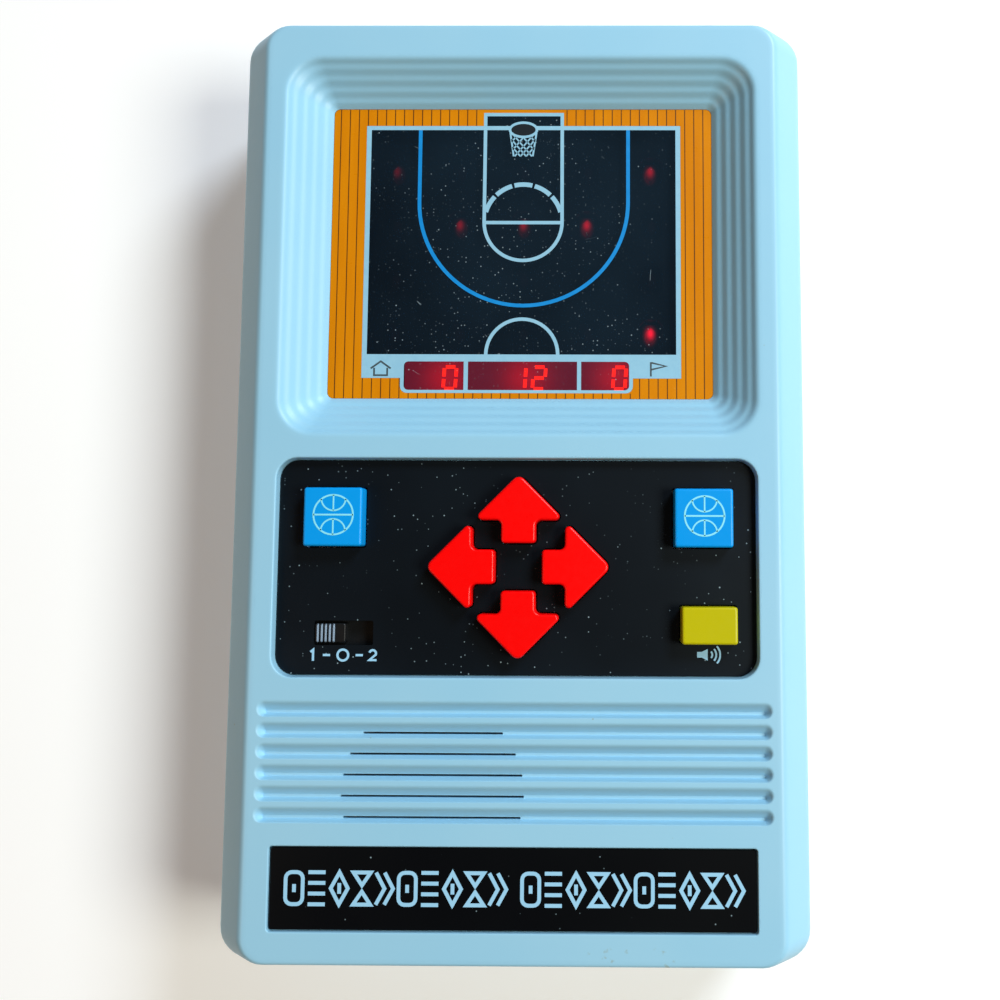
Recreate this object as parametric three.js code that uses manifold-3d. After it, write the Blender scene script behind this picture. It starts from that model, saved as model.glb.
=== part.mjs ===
// Handheld electronic ball game: a two-part moulded case with a stepped display well, a control
// panel with seven buttons and a slide switch, a slotted speaker grille and a battery bay behind.
// Millimetres. +X to the player's right, +Y towards the top end, +Z out of the face.
// The origin is the middle of the rear face, so the game lies on its back on z = 0.
import * as THREE from 'three';
import { mergeVertices } from 'three/addons/utils/BufferGeometryUtils.js';
import Module from 'manifold-3d';

const wasm = await Module();
wasm.setup();

// Case
const caseHalfWidth = 45;
const caseHalfLength = 72.5;
const faceHeight = 30;
const faceHalfWidth = 40.4;
const faceHalfLength = 72.2;
const chamferDrop = 5.2;
const faceCorner = 3.8;
const caseCorner = 4.2;
const seamHeight = 13;
const seamGap = 0.3;
const seamInset = 0.3;
const wall = 2.2;
const rearEdgeRadius = 3;
const cornerSteps = 4;

// Display well: five equal steps down to the window
const wellSteps = 5;
const wellDepth = 5.6;
const wellMiddle = 36.63;
const wellHalf = { x: 37, y: 30.1, corner: 5.5 };
const windowHalf = { x: 30.76, y: 23.86, corner: 1 };
const windowThickness = 1.5;
const windowOverlap = 1.5;
const fitGap = 0.2;

// Circuit board stack
const boardTop = 19;
const boardThickness = 1.6;
const boardHalfWidth = 33;
const boardEnds = [-34, 65];
const boardPosts = [[-30, 58], [30, 58], [-30, 6], [30, 6]];
const lampColumns = [-20.7, -10.2, 0.2, 10.6, 21];
const lampRows = [50.6, 41.6, 32.6, 23.6];
const lampTop = 21.8;
const digitRow = 16.6;
const digitBlocks = { home: [-18.9, -9.1], clock: [-8.7, 9.1], visitor: [9.5, 17.9] };

// Control panel
const panelMiddle = -13.78;
const panelHalf = { x: 36.83, y: 16.59, corner: 3.2 };
const panelDepth = 1.6;
const panelThickness = 0.5;
const trayThickness = 1.5;
const padMiddle = { x: 0.44, y: -13.72 };
const arrow = { tip: 14, barb: 6.15, barbTop: 7.85, barbBottom: 7.15, stem: 2.6, stemEnd: 3.6 };
const buttonHeight = 2.9;
const buttonGap = 0.3;
const flangeMargin = 0.7;
const arrowReach = 7.2;
const stemRadius = 1.6;
const stemBottom = 24.2;
const domeGap = 0.3;
const domeTopRadius = 1.9;
const shootHalf = 4.45;
const shootPlaces = { left: [-27.75, -6.25], right: [28.5, -6.25] };
const soundPlace = [29.3, -22.4];
const soundHalf = { x: 4.2, y: 2.8 };
const slotPlace = [-26.25, -23.85];
const slotHalf = { x: 4.5, y: 1.85 };
const knobHalf = { x: 2.3, y: 1.45 };

// Speaker and grille
const grooveCount = 6;
const grooveFirst = -34.78;
const groovePitch = 3.1;
const grooveHalf = { x: 38.45, y: 0.88 };
const grooveDepth = 1.3;
const speakerPlace = [-12.3, -47.6];
const speakerRadius = 13.8;

// Title plate
const plateMiddle = -61.24;
const plateHalf = { x: 36.29, y: 6.16 };
const plateSink = 0.4;
const plateThickness = 0.5;

// Battery bay: three AAA cells side by side
const cellRadius = 5.25;
const cellLength = 44.5;
const cellRows = [-25.3, -36, -46.7];
const cellHeight = 8;
const contactFaces = { outer: 26.6, inner: 26.2 };
const tabRise = 1.4;
const bay = { halfX: 27, y: [-52.6, -19.4], top: 14, wall: 1.5 };
const door = { halfX: 28.5, y: [-54.1, -17.9], z: [0.4, 2.2], earY: -57.5, earHalf: 5 };
const doorGap = 0.3;
const tongueSides = [-14, 14];
const tongueHalf = 3;

// Fasteners
const screwPlaces = [[-37, 63], [37, 63], [-37, -64], [37, -64]];
const screwHeadRadius = 2.6;
const screwShank = 1.3;
const screwSeat = 6.8;

const game = new THREE.Group();

function material(color, roughness, metalness = 0) {
  return new THREE.MeshStandardMaterial({ color, roughness, metalness });
}

const finish = {
  case: material('#b9dde2', 0.45),
  panel: material('#11151a', 0.35),
  window: material('#1b1512', 0.1),
  red: material('#f01010', 0.3),
  blue: material('#1296f0', 0.3),
  yellow: material('#d8cc10', 0.35),
  black: material('#15171a', 0.5),
  lamp: material('#8c1410', 0.3),
  board: material('#a9793f', 0.6),
  rubber: material('#c9c9c4', 0.85),
  steel: material('#b9bcc0', 0.3, 1),
  cell: material('#2f7d4f', 0.35),
  cone: material('#2a2623', 0.8),
  redWire: material('#b3201c', 0.5),
  blackWire: material('#1c1c1e', 0.5),
};

function addPart(name, geometry, look) {
  const mesh = new THREE.Mesh(geometry, look);
  mesh.name = name;
  game.add(mesh);
}

// ---- solids and booleans ----

function toSolid(geometry) {
  const plain = geometry.clone();
  plain.deleteAttribute('normal');
  plain.deleteAttribute('uv');
  const merged = mergeVertices(plain, 1e-4);
  const vertProperties = new Float32Array(merged.attributes.position.array);
  const triVerts = new Uint32Array(merged.index.array);
  return new wasm.Manifold(new wasm.Mesh({ numProp: 3, vertProperties, triVerts }));
}

function toGeometry(solid) {
  const mesh = solid.getMesh();
  const geometry = new THREE.BufferGeometry();
  geometry.setAttribute('position', new THREE.BufferAttribute(new Float32Array(mesh.vertProperties), 3));
  geometry.setIndex(new THREE.BufferAttribute(new Uint32Array(mesh.triVerts), 1));
  geometry.computeVertexNormals();
  return geometry;
}

const join = (first, ...others) => others.reduce((body, other) => body.add(other), first);
const cut = (first, ...others) => others.reduce((body, other) => body.subtract(other), first);

// Points of a rounded rectangle, anticlockwise from its right side
function ringPoints({ x = 0, y = 0, halfX, halfY, corner, steps = cornerSteps }) {
  const points = [];
  [[1, 1], [-1, 1], [-1, -1], [1, -1]].forEach(([sideX, sideY], quarter) => {
    for (let step = 0; step <= steps; step++) {
      const angle = (quarter + step / steps) * Math.PI / 2;
      const across = x + sideX * (halfX - corner) + corner * Math.cos(angle);
      const along = y + sideY * (halfY - corner) + corner * Math.sin(angle);
      points.push([across, along]);
    }
  });
  return points;
}

// Skin through rounded-rectangle rings listed from the lowest z to the highest, closed by flat ends
function loft(rings) {
  const positions = [];
  const index = [];
  const count = ringPoints(rings[0]).length;
  for (const ring of rings) {
    ringPoints(ring).forEach(([x, y]) => positions.push(x, y, ring.z));
  }
  for (let level = 0; level < rings.length - 1; level++) {
    for (let i = 0; i < count; i++) {
      const a = level * count + i;
      const b = level * count + (i + 1) % count;
      index.push(a, b, b + count, a, b + count, a + count);
    }
  }
  const last = (rings.length - 1) * count;
  for (let i = 1; i < count - 1; i++) {
    index.push(0, i + 1, i, last, last + i, last + i + 1);
  }
  const geometry = new THREE.BufferGeometry();
  geometry.setAttribute('position', new THREE.Float32BufferAttribute(positions, 3));
  geometry.setIndex(index);
  return toSolid(geometry);
}

function block(x, y, z) {
  const geometry = new THREE.BoxGeometry(x[1] - x[0], y[1] - y[0], z[1] - z[0]);
  geometry.translate((x[0] + x[1]) / 2, (y[0] + y[1]) / 2, (z[0] + z[1]) / 2);
  return toSolid(geometry);
}

// Rounded block about a centre line in plan
function pad([x, y], half, z, corner = 0.4, steps = 1) {
  const ring = { x, y, halfX: half.x, halfY: half.y, corner, steps };
  return loft([{ ...ring, z: z[0] }, { ...ring, z: z[1] }]);
}

function post([x, y], radius, z, sides = 16, topRadius = radius) {
  const geometry = new THREE.CylinderGeometry(topRadius, radius, z[1] - z[0], sides);
  geometry.rotateX(Math.PI / 2);
  geometry.translate(x, y, (z[0] + z[1]) / 2);
  return toSolid(geometry);
}

function prism(points, z) {
  const shape = new THREE.Shape(points.map(([x, y]) => new THREE.Vector2(x, y)));
  const geometry = new THREE.ExtrudeGeometry(shape, { depth: z[1] - z[0], bevelEnabled: false });
  geometry.translate(0, 0, z[0]);
  return toSolid(geometry);
}

// Turned piece about a vertical axis: profile points are [radius, height]
function turned([x, y], profile, sides = 24) {
  const points = profile.map(([radius, height]) => new THREE.Vector2(radius, height));
  const geometry = new THREE.LatheGeometry(points, sides);
  geometry.rotateX(Math.PI / 2);
  geometry.translate(x, y, 0);
  return toSolid(geometry);
}

// Round wire along a smooth curve through a few points
function wire(points, radius, steps) {
  const curve = new THREE.CatmullRomCurve3(points.map((point) => new THREE.Vector3(...point)));
  const section = new THREE.Shape();
  section.absarc(0, 0, radius, 0, Math.PI * 2);
  const options = { steps, extrudePath: curve, curveSegments: 4, bevelEnabled: false };
  return toGeometry(toSolid(new THREE.ExtrudeGeometry(section, options)));
}

// ---- shared shapes ----

const faceWall = faceHeight - wall;
const panelTop = faceHeight - panelDepth;
const trayTop = panelTop - panelThickness;
const trayBottom = trayTop - trayThickness;
const windowTop = faceHeight - wellDepth;
const buttonTop = panelTop + buttonHeight;
const chamferHeight = faceHeight - chamferDrop;

// Case outline at a height above the chamfer line, drawn in by an inset
function caseRing(z, inset = 0) {
  const share = Math.max(0, (z - chamferHeight) / chamferDrop);
  const mix = (low, high) => low + (high - low) * share;
  const halfX = mix(caseHalfWidth, faceHalfWidth) - inset;
  const halfY = mix(caseHalfLength, faceHalfLength) - inset;
  return { z, halfX, halfY, corner: Math.max(0.8, mix(caseCorner, faceCorner) - inset) };
}

// Turns an outline about the pad centre by quarter turns
function turnAboutPad(outline, turns) {
  const angle = turns * Math.PI / 2;
  return outline.map(([x, y]) => [
    padMiddle.x + x * Math.cos(angle) - y * Math.sin(angle),
    padMiddle.y + x * Math.sin(angle) + y * Math.cos(angle),
  ]);
}

// Arrow outline that points away from the pad centre, grown by a margin
function arrowPoints(turns, grow) {
  const slope = grow * Math.SQRT2;
  const barb = arrow.barb + grow;
  const stem = arrow.stem + grow;
  const barbTop = arrow.barbTop + slope - grow;
  const half = [[barb, barbTop], [barb, arrow.barbBottom - grow], [stem, arrow.barbBottom - grow],
    [stem, arrow.stemEnd - grow]];
  const mirrored = half.map(([x, y]) => [-x, y]);
  return turnAboutPad([[0, arrow.tip + slope], ...mirrored, ...half.reverse()], turns);
}

const arrowTurns = { up: 0, left: 1, down: 2, right: 3 };
const grown = (half, margin) => ({ x: half.x + margin, y: half.y + margin });
const shootSize = { x: shootHalf, y: shootHalf };

// Middle of an arrow button, shared by its stem and its rubber dome
function arrowMiddle(turns) {
  const angle = turns * Math.PI / 2;
  return [padMiddle.x - arrowReach * Math.sin(angle), padMiddle.y + arrowReach * Math.cos(angle)];
}

// Openings for the buttons and the slide switch, through any plate between two heights
function controlHoles(z) {
  const arrows = Object.values(arrowTurns).map((turns) => prism(arrowPoints(turns, buttonGap), z));
  const shoots = Object.values(shootPlaces).map((at) => pad(at, grown(shootSize, buttonGap), z));
  return [...arrows, ...shoots, pad(soundPlace, grown(soundHalf, buttonGap), z), pad(slotPlace, slotHalf, z)];
}

// ---- front casing ----

function displayWell() {
  const rings = [];
  const lerp = (low, high, share) => low + (high - low) * share;
  for (let step = 0; step <= wellSteps; step++) {
    const share = step / wellSteps;
    const ring = {
      y: wellMiddle,
      halfX: lerp(windowHalf.x, wellHalf.x, share),
      halfY: lerp(windowHalf.y, wellHalf.y, share),
      corner: lerp(windowHalf.corner, wellHalf.corner, share),
    };
    if (step > 0) rings.push({ ...ring, z: windowTop + (step - 1) * wellDepth / wellSteps });
    const top = windowTop + step * wellDepth / wellSteps;
    if (step === 0) rings.push({ ...ring, z: windowTop - wall });
    rings.push({ ...ring, z: step === wellSteps ? faceHeight + 1 : top });
  }
  return loft(rings);
}

function wellBlock() {
  const edge = windowOverlap + wall;
  const low = { y: wellMiddle, halfX: windowHalf.x + edge, halfY: windowHalf.y + edge, corner: 2 };
  const high = { y: wellMiddle, halfX: wellHalf.x + 1.6, halfY: wellHalf.y + 1.6, corner: wellHalf.corner };
  return loft([{ ...low, z: windowTop - wall }, { ...low, z: windowTop }, { ...high, z: faceWall + 0.5 }]);
}

function grilleCuts() {
  const cuts = [];
  for (let row = 0; row < grooveCount; row++) {
    const y = grooveFirst - row * groovePitch;
    cuts.push(pad([0, y], grooveHalf, [faceHeight - grooveDepth, faceHeight + 1], grooveHalf.y - 0.02, 2));
    const slotY = y - grooveHalf.y + 0.3;
    const half = Math.sqrt(Math.max(0, speakerRadius ** 2 - (slotY - speakerPlace[1]) ** 2));
    if (row > 0) {
      const x = [speakerPlace[0] - half, speakerPlace[0] + half];
      cuts.push(block(x, [slotY - 0.25, slotY + 0.25], [faceWall - 1, faceHeight - 0.5]));
    }
  }
  return cuts;
}

function frontCasing() {
  const low = seamHeight + seamGap / 2;
  const edges = [low + seamInset, chamferHeight, faceHeight];
  let body = loft([caseRing(low, seamInset), ...edges.map((z) => caseRing(z))]);
  const inner = chamferHeight - 1;
  const roof = { ...caseRing(faceWall, wall), z: faceWall };
  body = cut(body, loft([caseRing(low - 1, wall), caseRing(inner, wall), roof]));
  body = cut(body, loft([caseRing(low - 1, 1.1), caseRing(seamHeight + 1.6, 1.1)]));
  const trayHalf = grown(panelHalf, 1.6);
  body = join(body, wellBlock(), pad([0, panelMiddle], trayHalf, [trayBottom, faceWall + 0.5], 2));
  const ring = cut(post(speakerPlace, 15.5, [24, faceWall + 0.5], 32),
    post(speakerPlace, 14.3, [23, faceWall], 32));
  body = join(body, ring);
  for (const place of screwPlaces) {
    body = join(body, post(place, 3, [low, faceWall + 0.1], 12));
  }
  for (const place of screwPlaces) {
    body = cut(body, post(place, screwShank + 0.15, [low - 1, 20.5], 10));
  }
  const seat = { x: windowHalf.x + windowOverlap + fitGap, y: windowHalf.y + windowOverlap + fitGap };
  body = cut(body, displayWell(), pad([0, wellMiddle], seat, [windowTop - wall - 1, windowTop], 1));
  body = cut(body, pad([0, panelMiddle], panelHalf, [trayTop, faceHeight + 1], panelHalf.corner,
    cornerSteps));
  body = cut(body, ...controlHoles([trayBottom - 1, faceHeight]), ...grilleCuts());
  const plateFloor = faceHeight - plateSink - plateThickness;
  return cut(body, pad([0, plateMiddle], plateHalf, [plateFloor, faceHeight + 1], 0.4));
}

// ---- rear casing ----

function rearOuter() {
  const rings = [];
  const steps = 3;
  for (let step = 0; step <= steps; step++) {
    const angle = (step / steps) * Math.PI / 2;
    const inset = 0.8 + rearEdgeRadius * (1 - Math.sin(angle));
    rings.push(caseRing(rearEdgeRadius * (1 - Math.cos(angle)), inset));
  }
  const top = seamHeight - seamGap / 2;
  rings.push(caseRing(top - seamInset, 0), caseRing(top, seamInset));
  return loft(rings);
}

function rearCasing() {
  const top = seamHeight - seamGap / 2;
  const bayTop = bay.top + bay.wall;
  const bayMiddle = (bay.y[0] + bay.y[1]) / 2;
  const bayHalf = (bay.y[1] - bay.y[0]) / 2;
  const hollow = loft([caseRing(2, wall + 1.4), caseRing(4, wall + 0.4), caseRing(top + 1, wall)]);
  let body = cut(rearOuter(), hollow);
  const lip = cut(loft([caseRing(top - 1, 1.3), caseRing(top + 1.4, 1.3)]),
    loft([caseRing(top - 2, wall), caseRing(top + 2, wall)]));
  const lipRoot = loft([caseRing(top - 1, 1.3), caseRing(top, 1.3)]);
  body = join(body, lip, cut(lipRoot, loft([caseRing(top - 2, wall), caseRing(top + 1, wall)])));
  const box = { x: bay.halfX + bay.wall + 1.8, y: bayHalf + bay.wall + 1.8 };
  body = join(body, pad([0, bayMiddle], box, [1, bayTop], 1.5), post([0, door.earY], 4.2, [1, 9]));
  for (const place of screwPlaces) {
    body = join(body, post(place, 4.4, [1, top], 16));
  }
  for (const place of boardPosts) {
    body = join(body, post(place, 2, [1, boardTop - boardThickness - fitGap], 10));
  }
  for (const place of screwPlaces) {
    body = cut(body, post(place, screwHeadRadius + 0.4, [-1, screwSeat], 16));
    body = cut(body, post(place, screwShank + 0.3, [screwSeat - 1, top + 1], 10));
  }
  body = cut(body, block([-bay.halfX, bay.halfX], bay.y, [0.5, bay.top]));
  const recess = { x: door.halfX + doorGap, y: (door.y[1] - door.y[0]) / 2 + doorGap };
  const recessTop = door.z[1] + doorGap;
  body = cut(body, pad([0, (door.y[0] + door.y[1]) / 2], recess, [-1, recessTop], 1));
  const ear = { x: door.earHalf + doorGap, y: door.earHalf + doorGap };
  body = cut(body, pad([0, door.earY + 1], ear, [-1, recessTop], 2));
  body = cut(body, post([0, door.earY], 1.7, [1, 8], 12));
  for (const side of tongueSides) {
    const x = [side - tongueHalf - 0.4, side + tongueHalf + 0.4];
    body = cut(body, block(x, [bay.y[1] - 1, -15.5], [2, 4.5]));
  }
  for (const [x, y] of [[-1, cellRows[2]], [1, cellRows[0]]]) {
    const slot = [x * 26.45 - 0.5, x * 26.45 + 0.5];
    body = cut(body, block(slot, [y - 2, y + 2], [bay.top - 1, bayTop + 1]));
  }
  return body;
}

// ---- battery door, cells and contacts ----

function batteryDoor() {
  const middle = (door.y[0] + door.y[1]) / 2;
  const half = { x: door.halfX, y: (door.y[1] - door.y[0]) / 2 };
  let body = pad([0, middle], half, door.z, 0.8);
  body = join(body, pad([0, door.earY + 1], { x: door.earHalf, y: door.earHalf }, door.z, 1.8));
  for (const side of tongueSides) {
    const x = [side - tongueHalf, side + tongueHalf];
    body = join(body, block(x, [-20.5, door.y[1]], [1.9, 3.3]), block(x, [-18.5, -15.9], [2.5, 3.3]));
  }
  const counterbore = post([0, door.earY], screwHeadRadius + 0.2, [-1, 1.6], 16);
  return cut(body, counterbore, post([0, door.earY], 1.4, [1, 3], 12));
}

function screw([x, y], headLow, headHigh, tip, shank) {
  const rimStart = headLow + (headHigh - headLow) * 0.35;
  const profile = [[0, headLow], [screwHeadRadius * 0.85, headLow], [screwHeadRadius, rimStart],
    [screwHeadRadius, headHigh], [shank, headHigh], [shank, tip - 1], [0, tip]];
  const body = turned([x, y], profile, 16);
  const slotDepth = headLow + 0.7;
  const arm = 1.5;
  const half = 0.3;
  return cut(body, block([x - arm, x + arm], [y - half, y + half], [headLow - 1, slotDepth]),
    block([x - half, x + half], [y - arm, y + arm], [headLow - 1, slotDepth]));
}

// Cell along X with its raised button at the side given by its sign
function cell(y, side) {
  const button = 0.8;
  const end = cellLength / 2;
  const profile = [[0, -end], [cellRadius - 0.4, -end], [cellRadius, -end + 0.4],
    [cellRadius, end - button - 0.4], [cellRadius - 0.4, end - button], [1.9, end - button], [1.9, end],
    [0, end]].map(([radius, along]) => new THREE.Vector2(radius, along));
  const geometry = new THREE.LatheGeometry(profile, 20);
  geometry.rotateZ(-side * Math.PI / 2);
  geometry.translate(0, y, cellHeight);
  return toGeometry(toSolid(geometry));
}

// Contact plate on one end wall of the bay; each stop is [row, length] of the spring or dimple towards a cell
function contact(side, stops, tabRow) {
  const rows = stops.map(([row]) => cellRows[row]);
  const plate = [side * contactFaces.outer, side * contactFaces.inner].sort((a, b) => a - b);
  let body = block(plate, [Math.min(...rows) - 3.8, Math.max(...rows) + 3.8], [4, 12.4]);
  for (const [row, length] of stops) {
    const stub = new THREE.CylinderGeometry(length > 1 ? 1.8 : 1.4, 3, length, 12);
    stub.rotateZ(side * Math.PI / 2);
    stub.translate(side * (contactFaces.inner - length / 2 + 0.1), cellRows[row], cellHeight);
    body = join(body, toSolid(stub));
  }
  if (tabRow !== undefined) {
    const y = cellRows[tabRow];
    body = join(body, block(plate, [y - 1.5, y + 1.5], [12, bay.top + bay.wall + tabRise]));
  }
  return body;
}

// ---- electronics ----

function lightMask() {
  const half = { x: 32, y: 25 };
  let body = pad([0, wellMiddle], half, [boardTop + 0.4, windowTop - windowThickness - 0.3], 1);
  for (const x of lampColumns) {
    for (const y of lampRows) {
      body = cut(body, pad([x, y], { x: 1.8, y: 2.4 }, [boardTop, windowTop], 0.8));
    }
  }
  for (const [low, high] of Object.values(digitBlocks)) {
    const y = [digitRow - 3.4, digitRow + 3.4];
    body = cut(body, block([low - 0.15, high + 0.15], y, [boardTop, windowTop]));
  }
  return body;
}

function lamp(x, y) {
  const base = pad([x, y], { x: 1.4, y: 2 }, [boardTop, boardTop + 1.2], 0.3);
  const ring = { x, y, halfX: 0.8, halfY: 1.3, corner: 0.7, steps: 1 };
  const top = { ...ring, halfX: 0.45, halfY: 0.9, corner: 0.4, z: lampTop };
  return join(base, loft([{ ...ring, z: boardTop + 1 }, { ...ring, z: lampTop - 0.4 }, top]));
}

function rubberKeypad() {
  const low = boardTop + 0.3;
  const sheet = low + 1;
  const domeTop = stemBottom - domeGap;
  const middle = -14;
  let body = pad([0, middle], { x: 32.5, y: 16 }, [low, sheet], 1.5);
  body = cut(body, pad(slotPlace, { x: 6.4, y: 3.4 }, [low - 1, sheet + 1]));
  for (const turns of Object.values(arrowTurns)) {
    body = join(body, post(arrowMiddle(turns), 3.4, [low, domeTop], 12, domeTopRadius));
  }
  for (const at of [...Object.values(shootPlaces), soundPlace]) {
    body = join(body, post(at, 3.6, [low, domeTop], 12, domeTopRadius));
  }
  return body;
}

function button(outline, flange) {
  const skirtTop = trayBottom - 0.3;
  const skirtLow = skirtTop - 1;
  return join(outline([skirtTop - 0.5, buttonTop]), flange([skirtLow, skirtTop]));
}

function stem(at) {
  return post(at, stemRadius, [stemBottom, trayBottom - 0.8], 12);
}

function arrowButton(turns) {
  const sector = turnAboutPad([[0, 0.3], [20, 20.3], [-20, 20.3]], turns);
  const flange = (z) => prism(arrowPoints(turns, flangeMargin), z).intersect(prism(sector, z));
  const cap = button((z) => prism(arrowPoints(turns, 0), z), flange);
  return join(cap, stem(arrowMiddle(turns)));
}

function blockButton(at, half) {
  const cap = button((z) => pad(at, half, z), (z) => pad(at, grown(half, flangeMargin + 0.3), z));
  return join(cap, stem(at));
}

function powerSlider() {
  const x = slotPlace[0] - slotHalf.x + knobHalf.x + 0.15;
  const knobTop = panelTop + 0.5;
  let body = pad([x, slotPlace[1]], knobHalf, [trayBottom - 1, knobTop], 0.3);
  for (let ridge = 0; ridge < 4; ridge++) {
    const groove = x - knobHalf.x + 0.55 + ridge * 0.75;
    const y = [slotPlace[1] - 2, slotPlace[1] + 2];
    body = cut(body, block([groove, groove + 0.3], y, [knobTop - 0.45, knobTop + 1]));
  }
  const shutter = pad([x, slotPlace[1]], { x: 6.8, y: 2.6 }, [trayBottom - 1.2, trayBottom - 0.4]);
  return join(body, shutter, pad([x, slotPlace[1]], { x: 1, y: 1 }, [23.7, trayBottom - 1], 0.2));
}

function speakerFrame() {
  const profile = [[0, 20.6], [7.4, 20.6], [7.4, 22.9], [9, 23.1], [12.4, 26.1], [speakerRadius, 26.1],
    [speakerRadius, 27.4], [12.9, 27.4], [12.9, 26.7], [9, 23.9], [5, 23.5], [0, 23.5]];
  return turned(speakerPlace, profile);
}

function speakerCone() {
  const profile = [[0, 24.9], [2.6, 24.5], [4.6, 24], [8.6, 24.4], [12.2, 26.9], [12.2, 27.4],
    [8.2, 25], [4.6, 24.6], [2.8, 25.1], [0, 25.5]];
  return turned(speakerPlace, profile);
}

// ---- the assembly ----

addPart('front_casing', toGeometry(frontCasing()), finish.case);
addPart('rear_casing', toGeometry(rearCasing()), finish.case);
addPart('battery_door', toGeometry(batteryDoor()), finish.case);
addPart('battery_door_screw', toGeometry(screw([0, door.earY], 0.5, 1.5, 6, 1.1)), finish.steel);
screwPlaces.forEach((place, i) => {
  const solid = screw(place, screwSeat - 1.8, screwSeat, 19, screwShank);
  addPart(`case_screw_${i + 1}`, toGeometry(solid), finish.steel);
});

const windowSize = grown({ x: windowHalf.x, y: windowHalf.y }, windowOverlap);
const windowSlab = pad([0, wellMiddle], windowSize, [windowTop - windowThickness, windowTop - 0.05], 0.8);
addPart('display_window', toGeometry(windowSlab), finish.window);
addPart('light_mask', toGeometry(lightMask()), finish.black);
lampRows.forEach((y, row) => {
  lampColumns.forEach((x, column) => {
    addPart(`court_lamp_${row + 1}_${column + 1}`, toGeometry(lamp(x, y)), finish.lamp);
  });
});
for (const [name, [low, high]] of Object.entries(digitBlocks)) {
  const display = block([low, high], [digitRow - 3.2, digitRow + 3.2], [boardTop, lampTop + 0.1]);
  addPart(`${name}_digits`, toGeometry(display), finish.black);
}

const plateSolid = pad([0, plateMiddle], grown(plateHalf, -fitGap),
  [faceHeight - plateSink - plateThickness, faceHeight - plateSink], 0.3);
addPart('title_plate', toGeometry(plateSolid), finish.panel);
const panelSolid = cut(pad([0, panelMiddle], grown(panelHalf, -fitGap), [trayTop, panelTop], 3, cornerSteps),
  ...controlHoles([trayTop - 1, panelTop + 1]));
addPart('control_panel', toGeometry(panelSolid), finish.panel);

for (const [name, turns] of Object.entries(arrowTurns)) {
  addPart(`arrow_button_${name}`, toGeometry(arrowButton(turns)), finish.red);
}
for (const [name, place] of Object.entries(shootPlaces)) {
  addPart(`shoot_button_${name}`, toGeometry(blockButton(place, shootSize)), finish.blue);
}
addPart('sound_button', toGeometry(blockButton(soundPlace, soundHalf)), finish.yellow);
addPart('power_slider', toGeometry(powerSlider()), finish.black);
addPart('power_switch_body', toGeometry(pad(slotPlace, { x: 5.8, y: 2.8 }, [boardTop, 23.4])), finish.steel);
addPart('rubber_keypad', toGeometry(rubberKeypad()), finish.rubber);

const boardMiddle = (boardEnds[0] + boardEnds[1]) / 2;
const boardSolid = pad([0, boardMiddle], { x: boardHalfWidth, y: (boardEnds[1] - boardEnds[0]) / 2 },
  [boardTop - boardThickness, boardTop], 1);
addPart('main_circuit_board', toGeometry(boardSolid), finish.board);
const boardLow = boardTop - boardThickness;
const chipProfile = [
  [0, boardLow - 1.6], [3.5, boardLow - 1.4], [6, boardLow - 0.8], [7.2, boardLow], [0, boardLow],
];
addPart('chip_cover', toGeometry(turned([8, 24], chipProfile, 20)), finish.black);

addPart('speaker_frame', toGeometry(speakerFrame()), finish.steel);
addPart('speaker_cone', toGeometry(speakerCone()), finish.cone);

cellRows.forEach((y, i) => {
  addPart(`battery_${i + 1}`, cell(y, i % 2 ? -1 : 1), finish.cell);
});
const springReach = 3.4;
const dimple = 0.6;
addPart('contact_positive', toGeometry(contact(1, [[0, springReach - 0.8 - dimple]], 0)), finish.steel);
addPart('contact_negative', toGeometry(contact(-1, [[2, springReach]], 2)), finish.steel);
addPart('contact_bridge_left', toGeometry(contact(-1, [[0, springReach], [1, springReach]])), finish.steel);
addPart('contact_bridge_right', toGeometry(contact(1, [[1, springReach], [2, springReach]])), finish.steel);

const wireRadius = 0.5;
const tabTop = bay.top + bay.wall + tabRise;
const solder = boardTop + 0.9;
const batteryRoute = (side, row) => [
  [side * 26.4, cellRows[row], tabTop + 0.7], [side * 28.2, cellRows[row] + 1, tabTop + 2.4],
  [side * 31, -37.5, tabTop + 3.2], [side * 30.5, -34.6, solder + 0.6], [side * 29, -32, solder],
];
addPart('battery_wire_black', wire(batteryRoute(-1, 2), wireRadius, 14), finish.blackWire);
const redHeight = 16.4;
const redRoute = [
  [26.4, cellRows[0] - 2.4, redHeight], [28, -31, redHeight], [31, -35.4, redHeight + 0.2],
  [31.4, -36.2, 18.4], [31, -35, 20.4], [30, -32, solder],
];
addPart('battery_wire_red', wire(redRoute, wireRadius, 14), finish.redWire);
['red', 'black'].forEach((colour, i) => {
  const x = speakerPlace[0] + 11.6 + i * 3;
  const route = [[x, -39.4, 22.8], [x + 0.6, -37.6, 21.6], [x + 1, -35.6, 20.8], [x + 1.2, -32.6, solder]];
  addPart(`speaker_wire_${colour}`, wire(route, wireRadius, 10), finish[`${colour}Wire`]);
});

export default game;
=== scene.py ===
# Looks for the handheld electronic ball game. Shapes are drawn in millimetres, in the frame's own axes.
import math

import bmesh
import bpy
from mathutils import Matrix, Vector
from mathutils.geometry import delaunay_2d_cdt


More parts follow.
